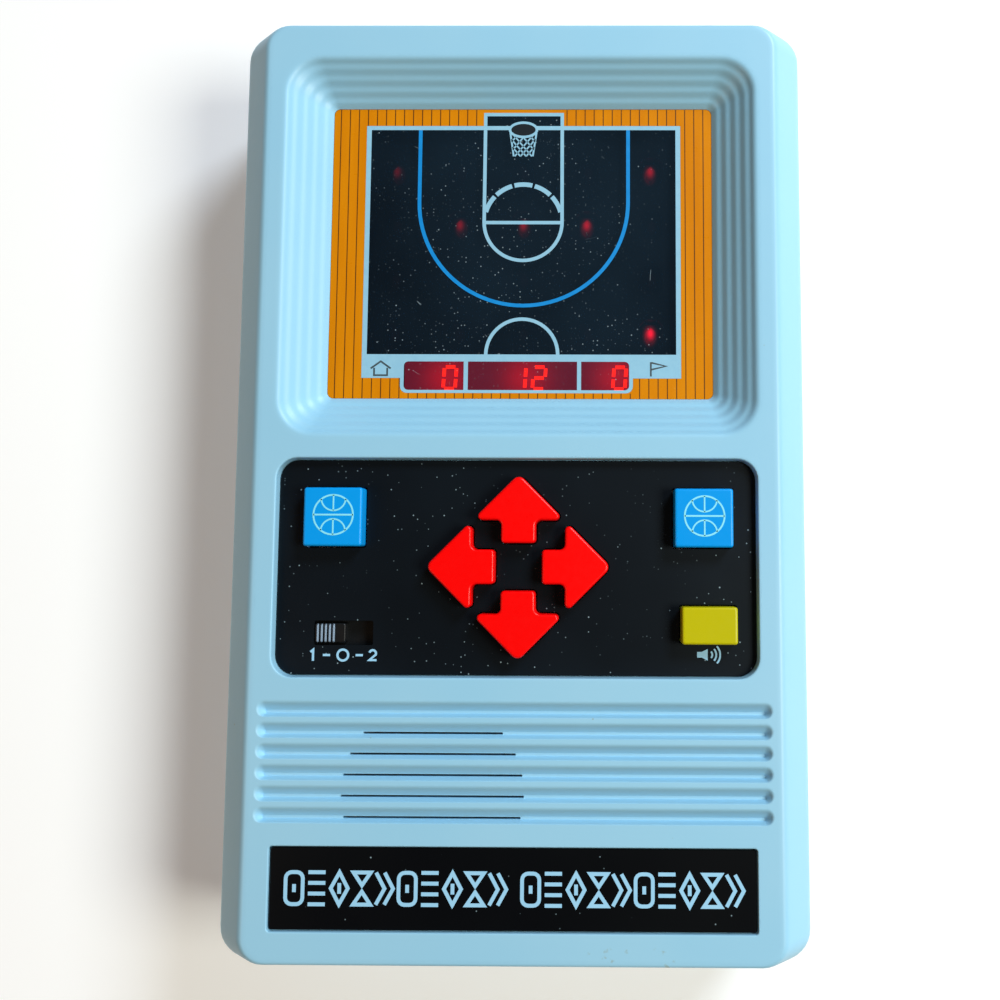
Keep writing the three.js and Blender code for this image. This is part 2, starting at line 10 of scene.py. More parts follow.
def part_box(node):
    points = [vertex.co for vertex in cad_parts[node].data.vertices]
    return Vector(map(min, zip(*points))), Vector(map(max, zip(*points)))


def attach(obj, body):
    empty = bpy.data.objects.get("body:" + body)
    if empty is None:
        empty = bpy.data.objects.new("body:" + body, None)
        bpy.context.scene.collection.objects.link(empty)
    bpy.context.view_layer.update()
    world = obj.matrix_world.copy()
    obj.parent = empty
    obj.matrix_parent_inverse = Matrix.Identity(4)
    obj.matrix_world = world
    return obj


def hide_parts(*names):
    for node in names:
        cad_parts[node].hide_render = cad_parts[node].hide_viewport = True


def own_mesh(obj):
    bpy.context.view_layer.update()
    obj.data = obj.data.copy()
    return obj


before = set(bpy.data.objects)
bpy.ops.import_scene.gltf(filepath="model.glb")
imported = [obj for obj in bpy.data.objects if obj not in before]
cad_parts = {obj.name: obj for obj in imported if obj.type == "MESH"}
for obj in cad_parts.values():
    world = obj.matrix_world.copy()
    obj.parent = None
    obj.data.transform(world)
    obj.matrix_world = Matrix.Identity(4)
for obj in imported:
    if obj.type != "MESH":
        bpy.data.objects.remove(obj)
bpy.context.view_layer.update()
mm = 0.001


def nodeBox(node):
    low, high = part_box(node)
    return low / mm, high / mm


# Middle and half size of a node's box, along each axis
def middleOf(node):
    return tuple((a + b) / 2 for a, b in zip(*nodeBox(node)))


def halfOf(node):
    return tuple((b - a) / 2 for a, b in zip(*nodeBox(node)))


def capitals(name):
    return "".join(word.capitalize() for word in name.split("_"))


caseLow, caseHigh = nodeBox("front_casing")
faceZ = caseHigh.z
halfWide, halfLong = caseHigh.x, caseHigh.y
print("frame loaded, face at", round(faceZ, 2), "mm")


# Outlines, drawn anticlockwise

def roundRect(centre, halfX, halfY, corner, steps=8):
    points = []
    for quarter, (sideX, sideY) in enumerate(((1, 1), (-1, 1), (-1, -1), (1, -1))):
        for step in range(steps + 1):
            angle = (quarter + step / steps) * math.pi / 2
            points.append((centre[0] + sideX * (halfX - corner) + corner * math.cos(angle),
                           centre[1] + sideY * (halfY - corner) + corner * math.sin(angle)))
    return points


# A rounded box that shrinks by an inset, as a function of that inset
def insetBox(centre, halfX, halfY, corner, steps=4, tighten=0.0, least=0.1):
    return lambda inset: roundRect(centre, halfX - inset, halfY - inset,
                                   max(corner - inset * tighten, least), steps)


# Steps round a quarter circle, as (share moved inwards, share climbed)
def quarterRound(first=1):
    angles = [step / 5 * math.pi / 2 for step in range(first, 6)]
    return [(1 - math.cos(angle), math.sin(angle)) for angle in angles]


def circle(centre, radius, steps=32):
    turn = 2 * math.pi / steps
    return [(centre[0] + radius * math.cos(i * turn), centre[1] + radius * math.sin(i * turn))
            for i in range(steps)]


def arc(centre, radius, fromDeg, toDeg, steps=24, squash=1.0):
    points = []
    for step in range(steps + 1):
        angle = math.radians(fromDeg + (toDeg - fromDeg) * step / steps)
        points.append((centre[0] + radius * math.cos(angle), centre[1] + squash * radius * math.sin(angle)))
    return points


# A polygon drawn in by an inset, with every corner rounded; each inset gives as many points
def softPolygon(corners, radii, inset=0.0, steps=5):
    spots = [Vector(c) for c in corners]
    count = len(spots)
    ways = [(spots[(i + 1) % count] - spots[i]).normalized() for i in range(count)]
    points = []
    for i in range(count):
        into, out = ways[i - 1], ways[i]
        cross = into.x * out.y - into.y * out.x
        turn = math.atan2(cross, into.dot(out))
        inward = Vector((-into.y - out.y, into.x + out.x)).normalized()
        corner = spots[i] + inward * inset / math.cos(turn / 2)
        radius = max(radii[i] + (-inset if turn > 0 else inset), 0.03)
        reach = radius * math.tan(abs(turn) / 2)
        side = 1 if turn > 0 else -1
        start = corner - into * reach
        middle = start + Vector((-into.y, into.x)) * radius * side
        spoke = start - middle
        for step in range(steps + 1):
            angle = turn * step / steps
            points.append((middle.x + spoke.x * math.cos(angle) - spoke.y * math.sin(angle),
                           middle.y + spoke.x * math.sin(angle) + spoke.y * math.cos(angle)))
    return points


def inside(point, outline):
    x, y = point
    odd = False
    for (x1, y1), (x2, y2) in zip(outline, outline[1:] + outline[:1]):
        if (y1 > y) != (y2 > y) and x < (x2 - x1) * (y - y1) / (y2 - y1) + x1:
            odd = not odd
    return odd


# Rounds the inner states of a section with short curves; a state is any tuple of numbers
def softPath(states, radii, steps=5):
    path = [states[0]]
    for before, here, after, radius in zip(states, states[1:], states[2:], radii):
        lengths = [math.hypot(*(a - b for a, b in zip(near[:2], here[:2]))) for near in (before, after)]
        ends = []
        for near, length in zip((before, after), lengths):
            share = min(0.5, radius / max(length, 1e-6))
            ends.append([h + (n - h) * share for h, n in zip(here, near)])
        for step in range(steps + 1):
            t = step / steps
            path.append(tuple((1 - t) ** 2 * a + 2 * t * (1 - t) * b + t * t * c
                              for a, b, c in zip(ends[0], here, ends[1])))
    path.append(states[-1])
    return path


# Mesh making

class Shape:
    def __init__(self):
        self.points = []
        self.faces = []

    def loop(self, outline, z):
        first = len(self.points)
        heights = z if isinstance(z, (list, tuple)) else [z] * len(outline)
        self.points += [(x, y, h) for (x, y), h in zip(outline, heights)]
        return list(range(first, len(self.points)))

    def bridge(self, a, b):
        count = len(a)
        for i in range(count):
            j = (i + 1) % count
            self.faces.append((a[i], a[j], b[j], b[i]))

    # Skins a run of (outline, z) rings and gives back the first and last of them
    def skin(self, rings):
        loops = [self.loop(outline, z) for outline, z in rings]
        for a, b in zip(loops, loops[1:]):
            self.bridge(a, b)
        return loops[0], loops[-1]

    def cap(self, loop, up=True):
        self.faces.append(tuple(loop if up else reversed(loop)))

    # Skins a run of rings and closes both ends
    def solid(self, rings):
        first, last = self.skin(rings)
        self.cap(first, up=False)
        self.cap(last)

    # Flat face between an outline and its holes
    def fill(self, outer, holes, z, up=True):
        spots, edges = [], []
        for outline in [outer] + holes:
            first = len(spots)
            spots += [Vector(p) for p in outline]
            edges += [(first + i, first + (i + 1) % len(outline)) for i in range(len(outline))]
        found = delaunay_2d_cdt(spots, edges, [], 1, 1e-6)
        first = len(self.points)
        self.points += [(p.x, p.y, z) for p in found[0]]
        for face in found[2]:
            middle = [sum(found[0][i][k] for i in face) / len(face) for k in (0, 1)]
            if inside(middle, outer) and not any(inside(middle, hole) for hole in holes):
                turned = [first + i for i in face]
                self.faces.append(tuple(turned if up else reversed(turned)))

    # Thin printed stroke along a line of points
    def stroke(self, line, width, z, thickness=0.03, closed=False):
        spots = [Vector(p) for p in line]
        count = len(spots)
        sides = []
        for i, spot in enumerate(spots):
            into = spot - spots[i - 1] if i or closed else spots[1] - spot
            out = spots[(i + 1) % count] - spot if i < count - 1 or closed else into
            into, out = into.normalized(), out.normalized()
            across = Vector((-into.y - out.y, into.x + out.x)).normalized()
            reach = width / 2 / max(across.dot(Vector((-out.y, out.x))), 0.4)
            sides.append((spot + across * reach, spot - across * reach))
        first = len(self.points)
        for left, right in sides:
            self.points += [(left.x, left.y, z), (right.x, right.y, z),
                            (right.x, right.y, z - thickness), (left.x, left.y, z - thickness)]
        for i in range(count if closed else count - 1):
            a, b = first + 4 * i, first + 4 * ((i + 1) % count)
            for k in range(4):
                self.faces.append((a + k, a + (k + 1) % 4, b + (k + 1) % 4, b + k))
        if not closed:
            last = first + 4 * (count - 1)
            self.faces += [(first + 3, first + 2, first + 1, first), (last, last + 1, last + 2, last + 3)]

    # Solid between two heights over an outline, with soft upper edges
    def slab(self, outline, low, high, soft=None):
        rings = [(outline(0), low), (outline(0), high)]
        if soft:
            rings = [(outline(0), low)]
            for inward, climb in quarterRound(0):
                rings.append((outline(soft * inward), high - soft * (1 - climb)))
            rings.append((outline(soft + 0.08), high))
        self.cap(self.skin(rings)[0], up=False)
        self.fill(rings[-1][0], [], high)

    def make(self, name, paint, sharp=32):
        mesh = bpy.data.meshes.new(name)
        mesh.from_pydata([tuple(v * mm for v in p) for p in self.points], [], self.faces)
        work = bmesh.new()
        work.from_mesh(mesh)
        bmesh.ops.remove_doubles(work, verts=work.verts, dist=2e-6)
        bmesh.ops.dissolve_degenerate(work, edges=work.edges, dist=1e-7)
        bmesh.ops.recalc_face_normals(work, faces=work.faces)
        work.to_mesh(mesh)
        work.free()
        return finishMesh(name, mesh, paint, sharp)


def finishMesh(name, mesh, paint, sharp=32):
    mesh.materials.clear()
    mesh.materials.append(paint)
    mesh.shade_smooth()
    mesh.set_sharp_from_angle(angle=math.radians(sharp))
    piece = bpy.data.objects.new(name, mesh)
    bpy.context.scene.collection.objects.link(piece)
    return piece


def place(piece, body, slot, *nodes):
    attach(piece, body)
    if nodes:
        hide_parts(*nodes)
    return piece


# Geometry nodes

# Builds a tree from named inputs and a wiring function that returns the geometry's socket
def geometryTree(name, inputs, wire):
    tree = bpy.data.node_groups.new(name, "GeometryNodeTree")
    tree.interface.new_socket("Geometry", in_out="OUTPUT", socket_type="NodeSocketGeometry")
    for label, (kind, value) in inputs.items():
        socket = tree.interface.new_socket(label, in_out="INPUT", socket_type="NodeSocket" + kind)
        if value is not None:
            socket.default_value = value
    source = tree.nodes.new("NodeGroupInput")
    sink = tree.nodes.new("NodeGroupOutput")

    def node(kind, settings=None, sockets=None):
        made = tree.nodes.new("GeometryNode" + kind if not kind.startswith("Shader") else kind)
        for key, value in (settings or {}).items():
            setattr(made, key, value)
        for key, value in (sockets or {}).items():
            if isinstance(value, bpy.types.NodeSocket):
                tree.links.new(value, made.inputs[key])
            else:
                made.inputs[key].default_value = value
        return made.outputs

    geometry = wire(node, source.outputs)
    real = node("RealizeInstances", None, {"Geometry": geometry})
    painted = node("SetMaterial", None, {"Geometry": real[0], "Material": source.outputs["Material"]})
    tree.links.new(painted[0], sink.inputs[0])
    return tree


# Runs a tree with its named inputs set and keeps the result as a plain mesh
def growMesh(name, tree, values, paint, sharp=32):
    base = bpy.data.objects.new(name + "Seed", bpy.data.meshes.new(name + "Seed"))
    bpy.context.scene.collection.objects.link(base)
    modifier = base.modifiers.new("grow", "NODES")
    modifier.node_group = tree
    keys = {item.name: item.identifier for item in tree.interface.items_tree if item.in_out == "INPUT"}
    for label, value in {**values, "Material": paint}.items():
        modifier[keys[label]] = value
    graph = bpy.context.evaluated_depsgraph_get()
    mesh = bpy.data.meshes.new_from_object(base.evaluated_get(graph))
    mesh.name = name
    bpy.data.objects.remove(base)
    return finishMesh(name, mesh, paint, sharp)


# A grid of copies of one small solid
def wireGrid(node, given):
    grid = node("MeshGrid", None, {"Size X": given["Width"], "Size Y": given["Height"],
                                   "Vertices X": given["Columns"], "Vertices Y": given["Rows"]})
    moved = node("Transform", None, {"Geometry": grid[0], "Translation": given["Centre"]})
    unit = node("ObjectInfo", {"transform_space": "ORIGINAL"}, {"Object": given["Unit"]})
    return node("InstanceOnPoints", None, {"Points": moved[0], "Instance": unit["Geometry"]})[0]


gridInputs = {
    "Columns": ("Int", 2), "Rows": ("Int", 2), "Width": ("Float", 0.01), "Height": ("Float", 0.01),
    "Centre": ("Vector", (0, 0, 0)), "Unit": ("Object", None), "Material": ("Material", None),
}
gridTree = geometryTree("gridOfCopies", gridInputs, wireGrid)


# Copies a small solid drawn round the origin over a grid, all sizes in millimetres
def copyOver(name, shape, paint, counts, spans, centre, sharp=32):
    unit = shape.make(name + "Unit", paint, sharp)
    values = {"Columns": counts[0], "Rows": counts[1], "Width": spans[0] * mm, "Height": spans[1] * mm,
              "Centre": tuple(v * mm for v in centre), "Unit": unit}
    piece = growMesh(name, gridTree, values, paint, sharp)
    bpy.data.objects.remove(unit)
    return piece


# A wire coil that stands along X, from a spiral curve
def wireCoil(node, given):
    spiral = node("CurveSpiral", None, {"Resolution": 24, "Rotations": given["Turns"],
                                        "Start Radius": given["Wide"], "End Radius": given["Narrow"],
                                        "Height": given["Length"]})
    ring = node("CurvePrimitiveCircle", None, {"Resolution": 8, "Radius": given["Wire"]})
    tube = node("CurveToMesh", None, {"Curve": spiral[0], "Profile Curve": ring[0], "Fill Caps": True})
    return node("Transform", None, {"Geometry": tube[0], "Rotation": given["Lie"],
                                    "Translation": given["Start"]})[0]


coilInputs = {
    "Turns": ("Float", 4.0), "Wide": ("Float", 0.002), "Narrow": ("Float", 0.001),
    "Length": ("Float", 0.004), "Wire": ("Float", 0.0002), "Lie": ("Rotation", None),
    "Start": ("Vector", (0, 0, 0)), "Material": ("Material", None),
}
coilTree = geometryTree("coilSpring", coilInputs, wireCoil)


# Materials

def rgb(red, green, blue):
    return tuple((c / 255 / 12.92 if c <= 10 else ((c / 255 + 0.055) / 1.055) ** 2.4)
                 for c in (red, green, blue)) + (1.0,)


# A node socket that takes part in Python expressions
class Wire:
    def __init__(self, paint, socket):
        self.paint = paint
        self.socket = socket

    def math(self, operation, *others, clamp=False):
        sockets = dict(enumerate([self, *others]))
        return self.paint.node("ShaderNodeMath", {"operation": operation, "use_clamp": clamp}, sockets)

    def __add__(self, other):
        return self.math("ADD", other)

    def __sub__(self, other):
        return self.math("SUBTRACT", other)

    def __rsub__(self, other):
        return self.paint.node("ShaderNodeMath", {"operation": "SUBTRACT"}, {0: other, 1: self})

    def __mul__(self, other):
        return self.math("MULTIPLY", other)

    def __truediv__(self, other):
        return self.math("DIVIDE", other)

    __radd__ = __add__
    __rmul__ = __mul__

    def above(self, edge, soft=0.0):
        if not soft:
            return self.math("GREATER_THAN", edge)
        return self.paint.node("ShaderNodeMapRange", {"interpolation_type": "SMOOTHSTEP"},
                               {0: self, 1: edge - soft, 2: edge + soft})

    def below(self, edge, soft=0.0):
        return 1 - self.above(edge, soft)


class Paint:
    def __init__(self, name, roughness=0.5, metallic=0.0, **fixed):
        self.material = bpy.data.materials.new(name)
        self.material.use_nodes = True
        self.tree = self.material.node_tree
        self.shader = self.tree.nodes["Principled BSDF"]
        self.set(Roughness=roughness, Metallic=metallic, **{k.replace("_", " "): v for k, v in fixed.items()})

    def set(self, **values):
        for key, value in values.items():
            self.connect(self.shader.inputs[key.replace("_", " ")], value)

    def connect(self, socket, value):
        if isinstance(value, Wire):
            self.tree.links.new(value.socket, socket)
        else:
            socket.default_value = value

    def node(self, kind, settings=None, sockets=None, output=0):
        made = self.tree.nodes.new(kind)
        for key, value in (settings or {}).items():
            setattr(made, key, value)
        for key, value in (sockets or {}).items():
            self.connect(made.inputs[key], value)
        return Wire(self, made.outputs[output])

    def place(self):
        return self.node("ShaderNodeTexCoord", None, None, "Object")

    def axes(self):
        split = self.tree.nodes.new("ShaderNodeSeparateXYZ")
        self.connect(split.inputs[0], self.place())
        return [Wire(self, out) / mm for out in split.outputs]

    def noise(self, scale, detail=3, rough=0.5, stretch=None):
        where = self.place()
        if stretch:
            where = self.node("ShaderNodeMapping", None, {"Vector": where, "Scale": stretch})
        return self.node("ShaderNodeTexNoise", None,
                         {"Vector": where, "Scale": scale, "Detail": detail, "Roughness": rough})

    # Scattered specks: small discs in the cells of a Voronoi pattern
    def specks(self, scale, size, keep):
        sockets = {"Vector": self.place(), "Scale": scale}
        near = self.node("ShaderNodeTexVoronoi", None, sockets, "Distance")
        tint = self.node("ShaderNodeTexVoronoi", None, sockets, "Color")
        pick = self.node("ShaderNodeSeparateColor", None, {0: tint}, 0)
        return near.below(size, size * 0.4) * pick.above(1 - keep)

    def mix(self, share, first, second):
        return self.node("ShaderNodeMix", {"data_type": "RGBA"}, {0: share, 6: first, 7: second}, 2)

    def bump(self, height, strength, distance):
        self.set(Normal=self.node("ShaderNodeBump", None,
                                  {"Height": height, "Strength": strength, "Distance": distance}))


# Moulded plastic: slight colour drift, uneven sheen and a fine grain
def mouldedPlastic(name, colour, drift, roughness, grain=0.08, **fixed):
    paint = Paint(name, **fixed)
    soft = paint.noise(38, 2)
    fine = paint.noise(900, 4, 0.6)
    paint.set(Base_Color=paint.mix(soft.above(0.5, 0.3), colour, drift))
    paint.set(Roughness=roughness + (fine - 0.5) * 0.12 + (soft - 0.5) * 0.1)
    paint.bump(paint.noise(2600, 3), grain, 0.00004)
    return paint


casePlastic = {
    "colour": rgb(146, 198, 225), "drift": rgb(151, 200, 225), "roughness": 0.42,
    "grime": rgb(140, 150, 130), "smudge": (11, 24, -69.2),  # left, right and top of the dirt under the plate
}


def casePaint():
    setting = casePlastic
    paint = mouldedPlastic("casePlastic", setting["colour"], setting["drift"], setting["roughness"])
    x, y, z = paint.axes()
    base = Wire(paint, paint.shader.inputs["Base Color"].links[0].from_socket)
    left, right, top = setting["smudge"]
    smudge = x.above(left) * x.below(right) * y.below(top, 0.4) * z.above(faceZ - 0.6)
    dirt = paint.noise(420, 3, 0.6).above(0.66, 0.05) * smudge
    speck = paint.specks(420, 0.06, 0.05) * z.above(faceZ - 3)
    paint.set(Base_Color=paint.mix(dirt * 0.5 + speck * 0.5, base, setting["grime"]))
    return paint.material


# Fine dust in drifts and a few short curved scratches, as one mask
def dustOf(paint, amount, scratched):
    drift = paint.noise(55, 3, 0.6).above(0.5, 0.14)
    dust = paint.specks(1700, 0.17, 0.13 * amount) * drift + paint.specks(900, 0.1, 0.035 * amount)
    if scratched:
        bends = (paint.noise(120, 1, 0.4) - 0.5).math("ABSOLUTE").below(0.003, 0.0012)
        dust = dust + bends * paint.noise(230, 1).above(0.7, 0.02) * 0.7
    return dust.math("MINIMUM", 1.0)


# Printed black sheet
def printPaint(name, colour, drift, roughness, dust):
    paint = Paint(name, Specular_IOR_Level=0.2)
    cloud = paint.noise(30, 3)
    grains = dustOf(paint, dust, False)
    base = paint.mix(cloud.above(0.5, 0.3), colour, drift)
    paint.set(Base_Color=paint.mix(grains * 0.75, base, rgb(150, 175, 185)))
    paint.set(Roughness=roughness + cloud * 0.12 + grains * 0.3)
    paint.bump(paint.noise(1500, 3), 0.03, 0.00003)
    return paint.material


# Buttons are smoother and a little duller in their shine than the case
def buttonPaint(name, colour, drift, roughness):
    return mouldedPlastic(name, colour, drift, roughness, 0.03, Specular_IOR_Level=0.28).material


def inkPaint(name, colour, drift, roughness=0.3):
    paint = Paint(name)
    worn = paint.noise(700, 3, 0.6)
    paint.set(Base_Color=paint.mix(worn.above(0.55, 0.25), colour, drift))
    paint.set(Roughness=roughness + worn * 0.1)
    return paint.material


def steelPaint(name, colour=(0.62, 0.62, 0.63, 1), roughness=0.3):
    paint = Paint(name, metallic=1.0)
    brushed = paint.noise(900, 3, 0.6, (1, 1, 0.1))
    darker = tuple(c * 0.8 for c in colour[:3]) + (1,)
    paint.set(Base_Color=paint.mix(brushed.above(0.5, 0.3), colour, darker))
    paint.set(Roughness=roughness + (brushed - 0.5) * 0.2)
    return paint.material


# A lamp's glow: bright round one spot, with a dim even glow behind it
def lampPaint(name, glow, centre=None, size=(0.55, 0.85), back=(0, 0, 0)):
    paint = Paint(name, roughness=0.3)
    grain = paint.noise(800, 2)
    paint.set(Base_Color=paint.mix(grain, rgb(60, 8, 10), rgb(44, 5, 8)))
    if centre:
        x, y, _ = paint.axes()
        across = (x - centre[0]) / size[0]
        along = (y - centre[1]) / size[1]
        share = (across * across + along * along).math("MULTIPLY", -1.0).math("EXPONENT")
        colour = paint.mix(share, (*back, 1), rgb(255, 16, 48))
        paint.set(Emission_Color=colour, Emission_Strength=glow)
    elif glow:
        colour = paint.mix(grain, rgb(255, 12, 12), rgb(255, 40, 10))
        paint.set(Emission_Color=colour, Emission_Strength=glow)
    return paint.material


# Orange varnish of the painted floor, worn in places
def plankPaint():
    paint = Paint("orangeInk", roughness=0.24, Specular_IOR_Level=0.3)
    grain = paint.noise(240, 3, 0.6, (1, 0.12, 1))
    worn = paint.noise(700, 3, 0.6)
    base = paint.mix(grain.above(0.5, 0.2), rgb(212, 130, 2), rgb(204, 120, 0))
    paint.set(Base_Color=paint.mix(worn.above(0.75, 0.05) * 0.4, base, rgb(226, 160, 90)))
    paint.set(Roughness=0.24 + worn * 0.1)
    return paint.material


paints = {
    "case": casePaint(),
    "orange": plankPaint(),
    "panel": printPaint("panelPrint", rgb(4, 10, 16), rgb(10, 20, 28), 0.3, 1.0),
    "plate": printPaint("platePrint", rgb(3, 5, 9), rgb(6, 9, 12), 0.22, 0.3),
    "red": buttonPaint("redButton", rgb(250, 0, 0), rgb(244, 2, 2), 0.3),
    "blue": buttonPaint("blueButton", rgb(0, 148, 230), rgb(0, 152, 234), 0.32),
    "yellow": buttonPaint("yellowButton", rgb(188, 180, 0), rgb(182, 176, 0), 0.34),
    "black": mouldedPlastic("blackPlastic", rgb(10, 12, 15), rgb(16, 18, 20), 0.42,
                            Specular_IOR_Level=0.3).material,
    "plank": inkPaint("plankInk", rgb(70, 38, 8), rgb(58, 30, 8)),
    "pale": inkPaint("paleInk", rgb(144, 192, 216), rgb(136, 186, 212)),
    "courtBlue": inkPaint("blueInk", rgb(8, 132, 206), rgb(14, 138, 212)),
    "mouth": inkPaint("mouthInk", rgb(22, 30, 38), rgb(16, 24, 31)),
    "dark": inkPaint("darkInk", rgb(58, 72, 78), rgb(66, 80, 86), 0.4),
    "cyan": inkPaint("iconInk", rgb(138, 226, 244), rgb(130, 220, 240), 0.4),
    "title": inkPaint("titleInk", rgb(150, 203, 235), rgb(156, 206, 236), 0.35),
    "steel": steelPaint("zincSteel"),
    "nickel": steelPaint("nickelSteel", (0.7, 0.69, 0.66, 1), 0.22),
    "unlit": lampPaint("unlitLamp", 0),
    # the knob's ridges are its own black plastic; their pale blue-grey colour is a painted highlight
    "ridge": mouldedPlastic("knobRidge", rgb(128, 150, 172), rgb(150, 172, 194), 0.3).material,
    "rubber": mouldedPlastic("keypadRubber", rgb(170, 172, 168), rgb(160, 162, 158), 0.6).material,
    "board": mouldedPlastic("boardPhenolic", rgb(150, 104, 52), rgb(128, 86, 40), 0.5).material,
    "cone": mouldedPlastic("paperCone", rgb(34, 31, 28), rgb(46, 42, 38), 0.8, 0.3).material,
    "redWire": mouldedPlastic("redWire", rgb(170, 24, 20), rgb(150, 18, 16), 0.4).material,
    "blackWire": mouldedPlastic("blackWire", rgb(22, 22, 24), rgb(30, 30, 32), 0.4).material,
}
print("materials ready:", len(paints))


# Front casing

front = {
    "faceHalf": (40.4, 72.2), "faceCorner": 3.8, "caseCorner": 4.2, "chamferDrop": 5.2,
    "seamBevel": 0.3, "wall": 2.2, "ceiling": 27.8, "faceSoft": 1.0, "chamferSoft": 1.3,
    "innerCorner": 2.2, "shoulder": 6.4, "ceilingHalf": (40.0, 70.0), "ceilingCorner": 1.8,
}
well = {
    "middle": 36.63, "rim": (37.0, 30.1, 5.5), "opening": (30.76, 23.86, 1.0), "depth": 5.6,
    "steps": 5, "treadShare": 0.25, "riserShare": 0.6, "rimSoft": 0.85, "stepSoft": 0.36,
    "ledge": 1.7, "ledgeWall": 2.0, "backWall": 1.6,
}
panelBay = {"middle": -13.78, "half": (36.83, 16.59), "corner": 3.2, "floor": 27.9, "under": 26.4}
plateBay = {"middle": -61.24, "half": (36.29, 6.16), "corner": 0.5, "floor": 29.1}
grille = {
    "count": 6, "first": -34.78, "pitch": 3.1, "halfLong": 38.8, "upper": 1.0, "lower": -1.5,
    "valley": -0.82, "depth": 1.25, "endRun": 1.1, "speaker": (-12.3, -47.6, 13.8), "slotHalf": 0.17,
}


def ringOf(centre, state, steps=8):
    z, halfX, halfY, corner = state
    return roundRect(centre, halfX, halfY, max(corner, 0.05), steps), z


def frontSide(shape):
    bevel = front["seamBevel"]
    wide = (halfWide, halfLong, front["caseCorner"])
    narrow = (*front["faceHalf"], front["faceCorner"])
    run = front["faceSoft"] + 0.12
    states = [
        (caseLow.z, *(v - bevel for v in wide)),
        (caseLow.z + bevel, *wide),
        (faceZ - front["chamferDrop"], *wide),
        (faceZ, *narrow),
        (faceZ, *(v - run for v in narrow)),
    ]
    path = softPath(states, (0.12, front["chamferSoft"], front["faceSoft"]))
    rings = [ringOf((0, 0), state) for state in path]
    shape.skin(rings)
    return rings[-1][0]


# The stepped well, as (z, half width, half length, corner) states from the rim down to the window
def wellStates():
    low, high = well["opening"], well["rim"]
    risers = well["steps"]
    treads = risers - 1
    riserIn = well["riserShare"] / risers
    treadIn = (1 - well["riserShare"]) / treads
    riserDown = (1 - well["treadShare"]) / risers
    treadDown = well["treadShare"] / treads
    states = []
    inward = down = 0.0

    def add():
        size = [h + (w - h) * inward for h, w in zip(high, low)]
        states.append((faceZ - well["depth"] * down, *size))

    add()
    for step in range(risers):
        inward, down = inward + riserIn, down + riserDown
        add()
        if step < treads:
            inward, down = inward + treadIn, down + treadDown
            add()
    return states


def displayWell(shape):
    states = wellStates()
    out = well["rimSoft"] + 0.12
    rim = (faceZ, *(v + out for v in states[0][1:]))
    radii = [well["rimSoft"]] + [well["stepSoft"]] * (len(states) - 2)
    path = softPath([rim, *states], radii, 4)
    bottom = path[-1]
    lip, wall = bottom[0], well["ledgeWall"]
    wide = tuple(v + well["ledge"] for v in bottom[1:])
    thick = tuple(v + well["ledge"] + wall for v in bottom[1:])
    path += [(lip, *wide), (lip - wall, *wide), (lip - wall, *thick), (lip, *thick)]
    path.append((front["ceiling"], *(v + well["backWall"] for v in states[0][1:])))
    rings = [ringOf((0, well["middle"]), state, 10) for state in path]
    shape.skin(rings)
    return rings[0][0], rings[-1][0]


def openBay(shape, bay, soft, draft):
    centre = (0, bay["middle"])
    halfX, halfY = bay["half"]
    corner = bay["corner"]
    states = [
        (faceZ, halfX + soft + 0.1, halfY + soft + 0.1, corner + soft),
        (faceZ, halfX, halfY, corner),
        (bay["floor"], halfX - draft, halfY - draft, corner - draft),
    ]
    rings = [ringOf(centre, state) for state in softPath(states, (soft,), 5)]
    shape.skin(rings)
    return rings[0][0], rings[-1][0]


# One groove: a slanting floor that falls to a narrow valley, then a short steep bank
def grilleGroove(shape, row):
    y = grille["first"] - row * grille["pitch"]
    middle = (grille["upper"] + grille["lower"]) / 2
    half = (grille["upper"] - grille["lower"]) / 2
    rim = roundRect((0, y + middle), grille["halfLong"], half, half - 0.02, 8)
    valleyHalf = grille["halfLong"] - grille["endRun"]
    valley = roundRect((0, y + grille["valley"]), valleyHalf, 0.22, 0.2, 8)
    steps = 7
    rings = []
    for step in range(steps + 1):
        share = step / steps
        soft = 0.3
        fall = share * share / (2 * soft) if share < soft else share - soft / 2
        fall /= 1 - soft / 2
        points = [tuple(p + (q - p) * share for p, q in zip(a, b)) for a, b in zip(rim, valley)]
        rings.append((points, faceZ - grille["depth"] * fall))
    outer = [(p[0] * 1.003, y + middle + (p[1] - y - middle) * 1.06) for p in rim]
    shape.skin([(outer, faceZ)] + rings)
    spotX, spotY, radius = grille["speaker"]
    reach = math.sqrt(max(0, radius ** 2 - (y + grille["valley"] - spotY) ** 2))
    floor = faceZ - grille["depth"]
    if row == 0:
        shape.fill(valley, [], floor)
        return outer, None
    slot = roundRect((spotX, y + grille["valley"] - 0.02), reach, grille["slotHalf"], 0.15, 8)
    shape.skin([(valley, floor), (slot, floor), (slot, front["ceiling"])])
    return outer, slot


arrowPad = {
    "centre": (0.44, -13.72), "tip": 14.1, "barb": (7.03, 7.07), "stem": 2.6, "stemEnd": 3.6,
    "tipSoft": 1.15, "barbSoft": 0.62, "innerSoft": 0.85, "endSoft": 0.55,
}
arrowTurns = {"up": 0, "left": 1, "down": 2, "right": 3}


def arrowOutline(turns, inset=0.0):
    pad = arrowPad
    barbX, barbY = pad["barb"]
    left = [(-barbX, barbY), (-pad["stem"], barbY), (-pad["stem"], pad["stemEnd"])]
    right = [(-x, y) for x, y in reversed(left)]
    soft = [pad["barbSoft"], pad["innerSoft"], pad["endSoft"]]
    spots = softPolygon([(0, pad["tip"]), *left, *right], [pad["tipSoft"], *soft, *reversed(soft)], inset)
    angle = turns * math.pi / 2
    return [(pad["centre"][0] + x * math.cos(angle) - y * math.sin(angle),
             pad["centre"][1] + x * math.sin(angle) + y * math.cos(angle)) for x, y in spots]


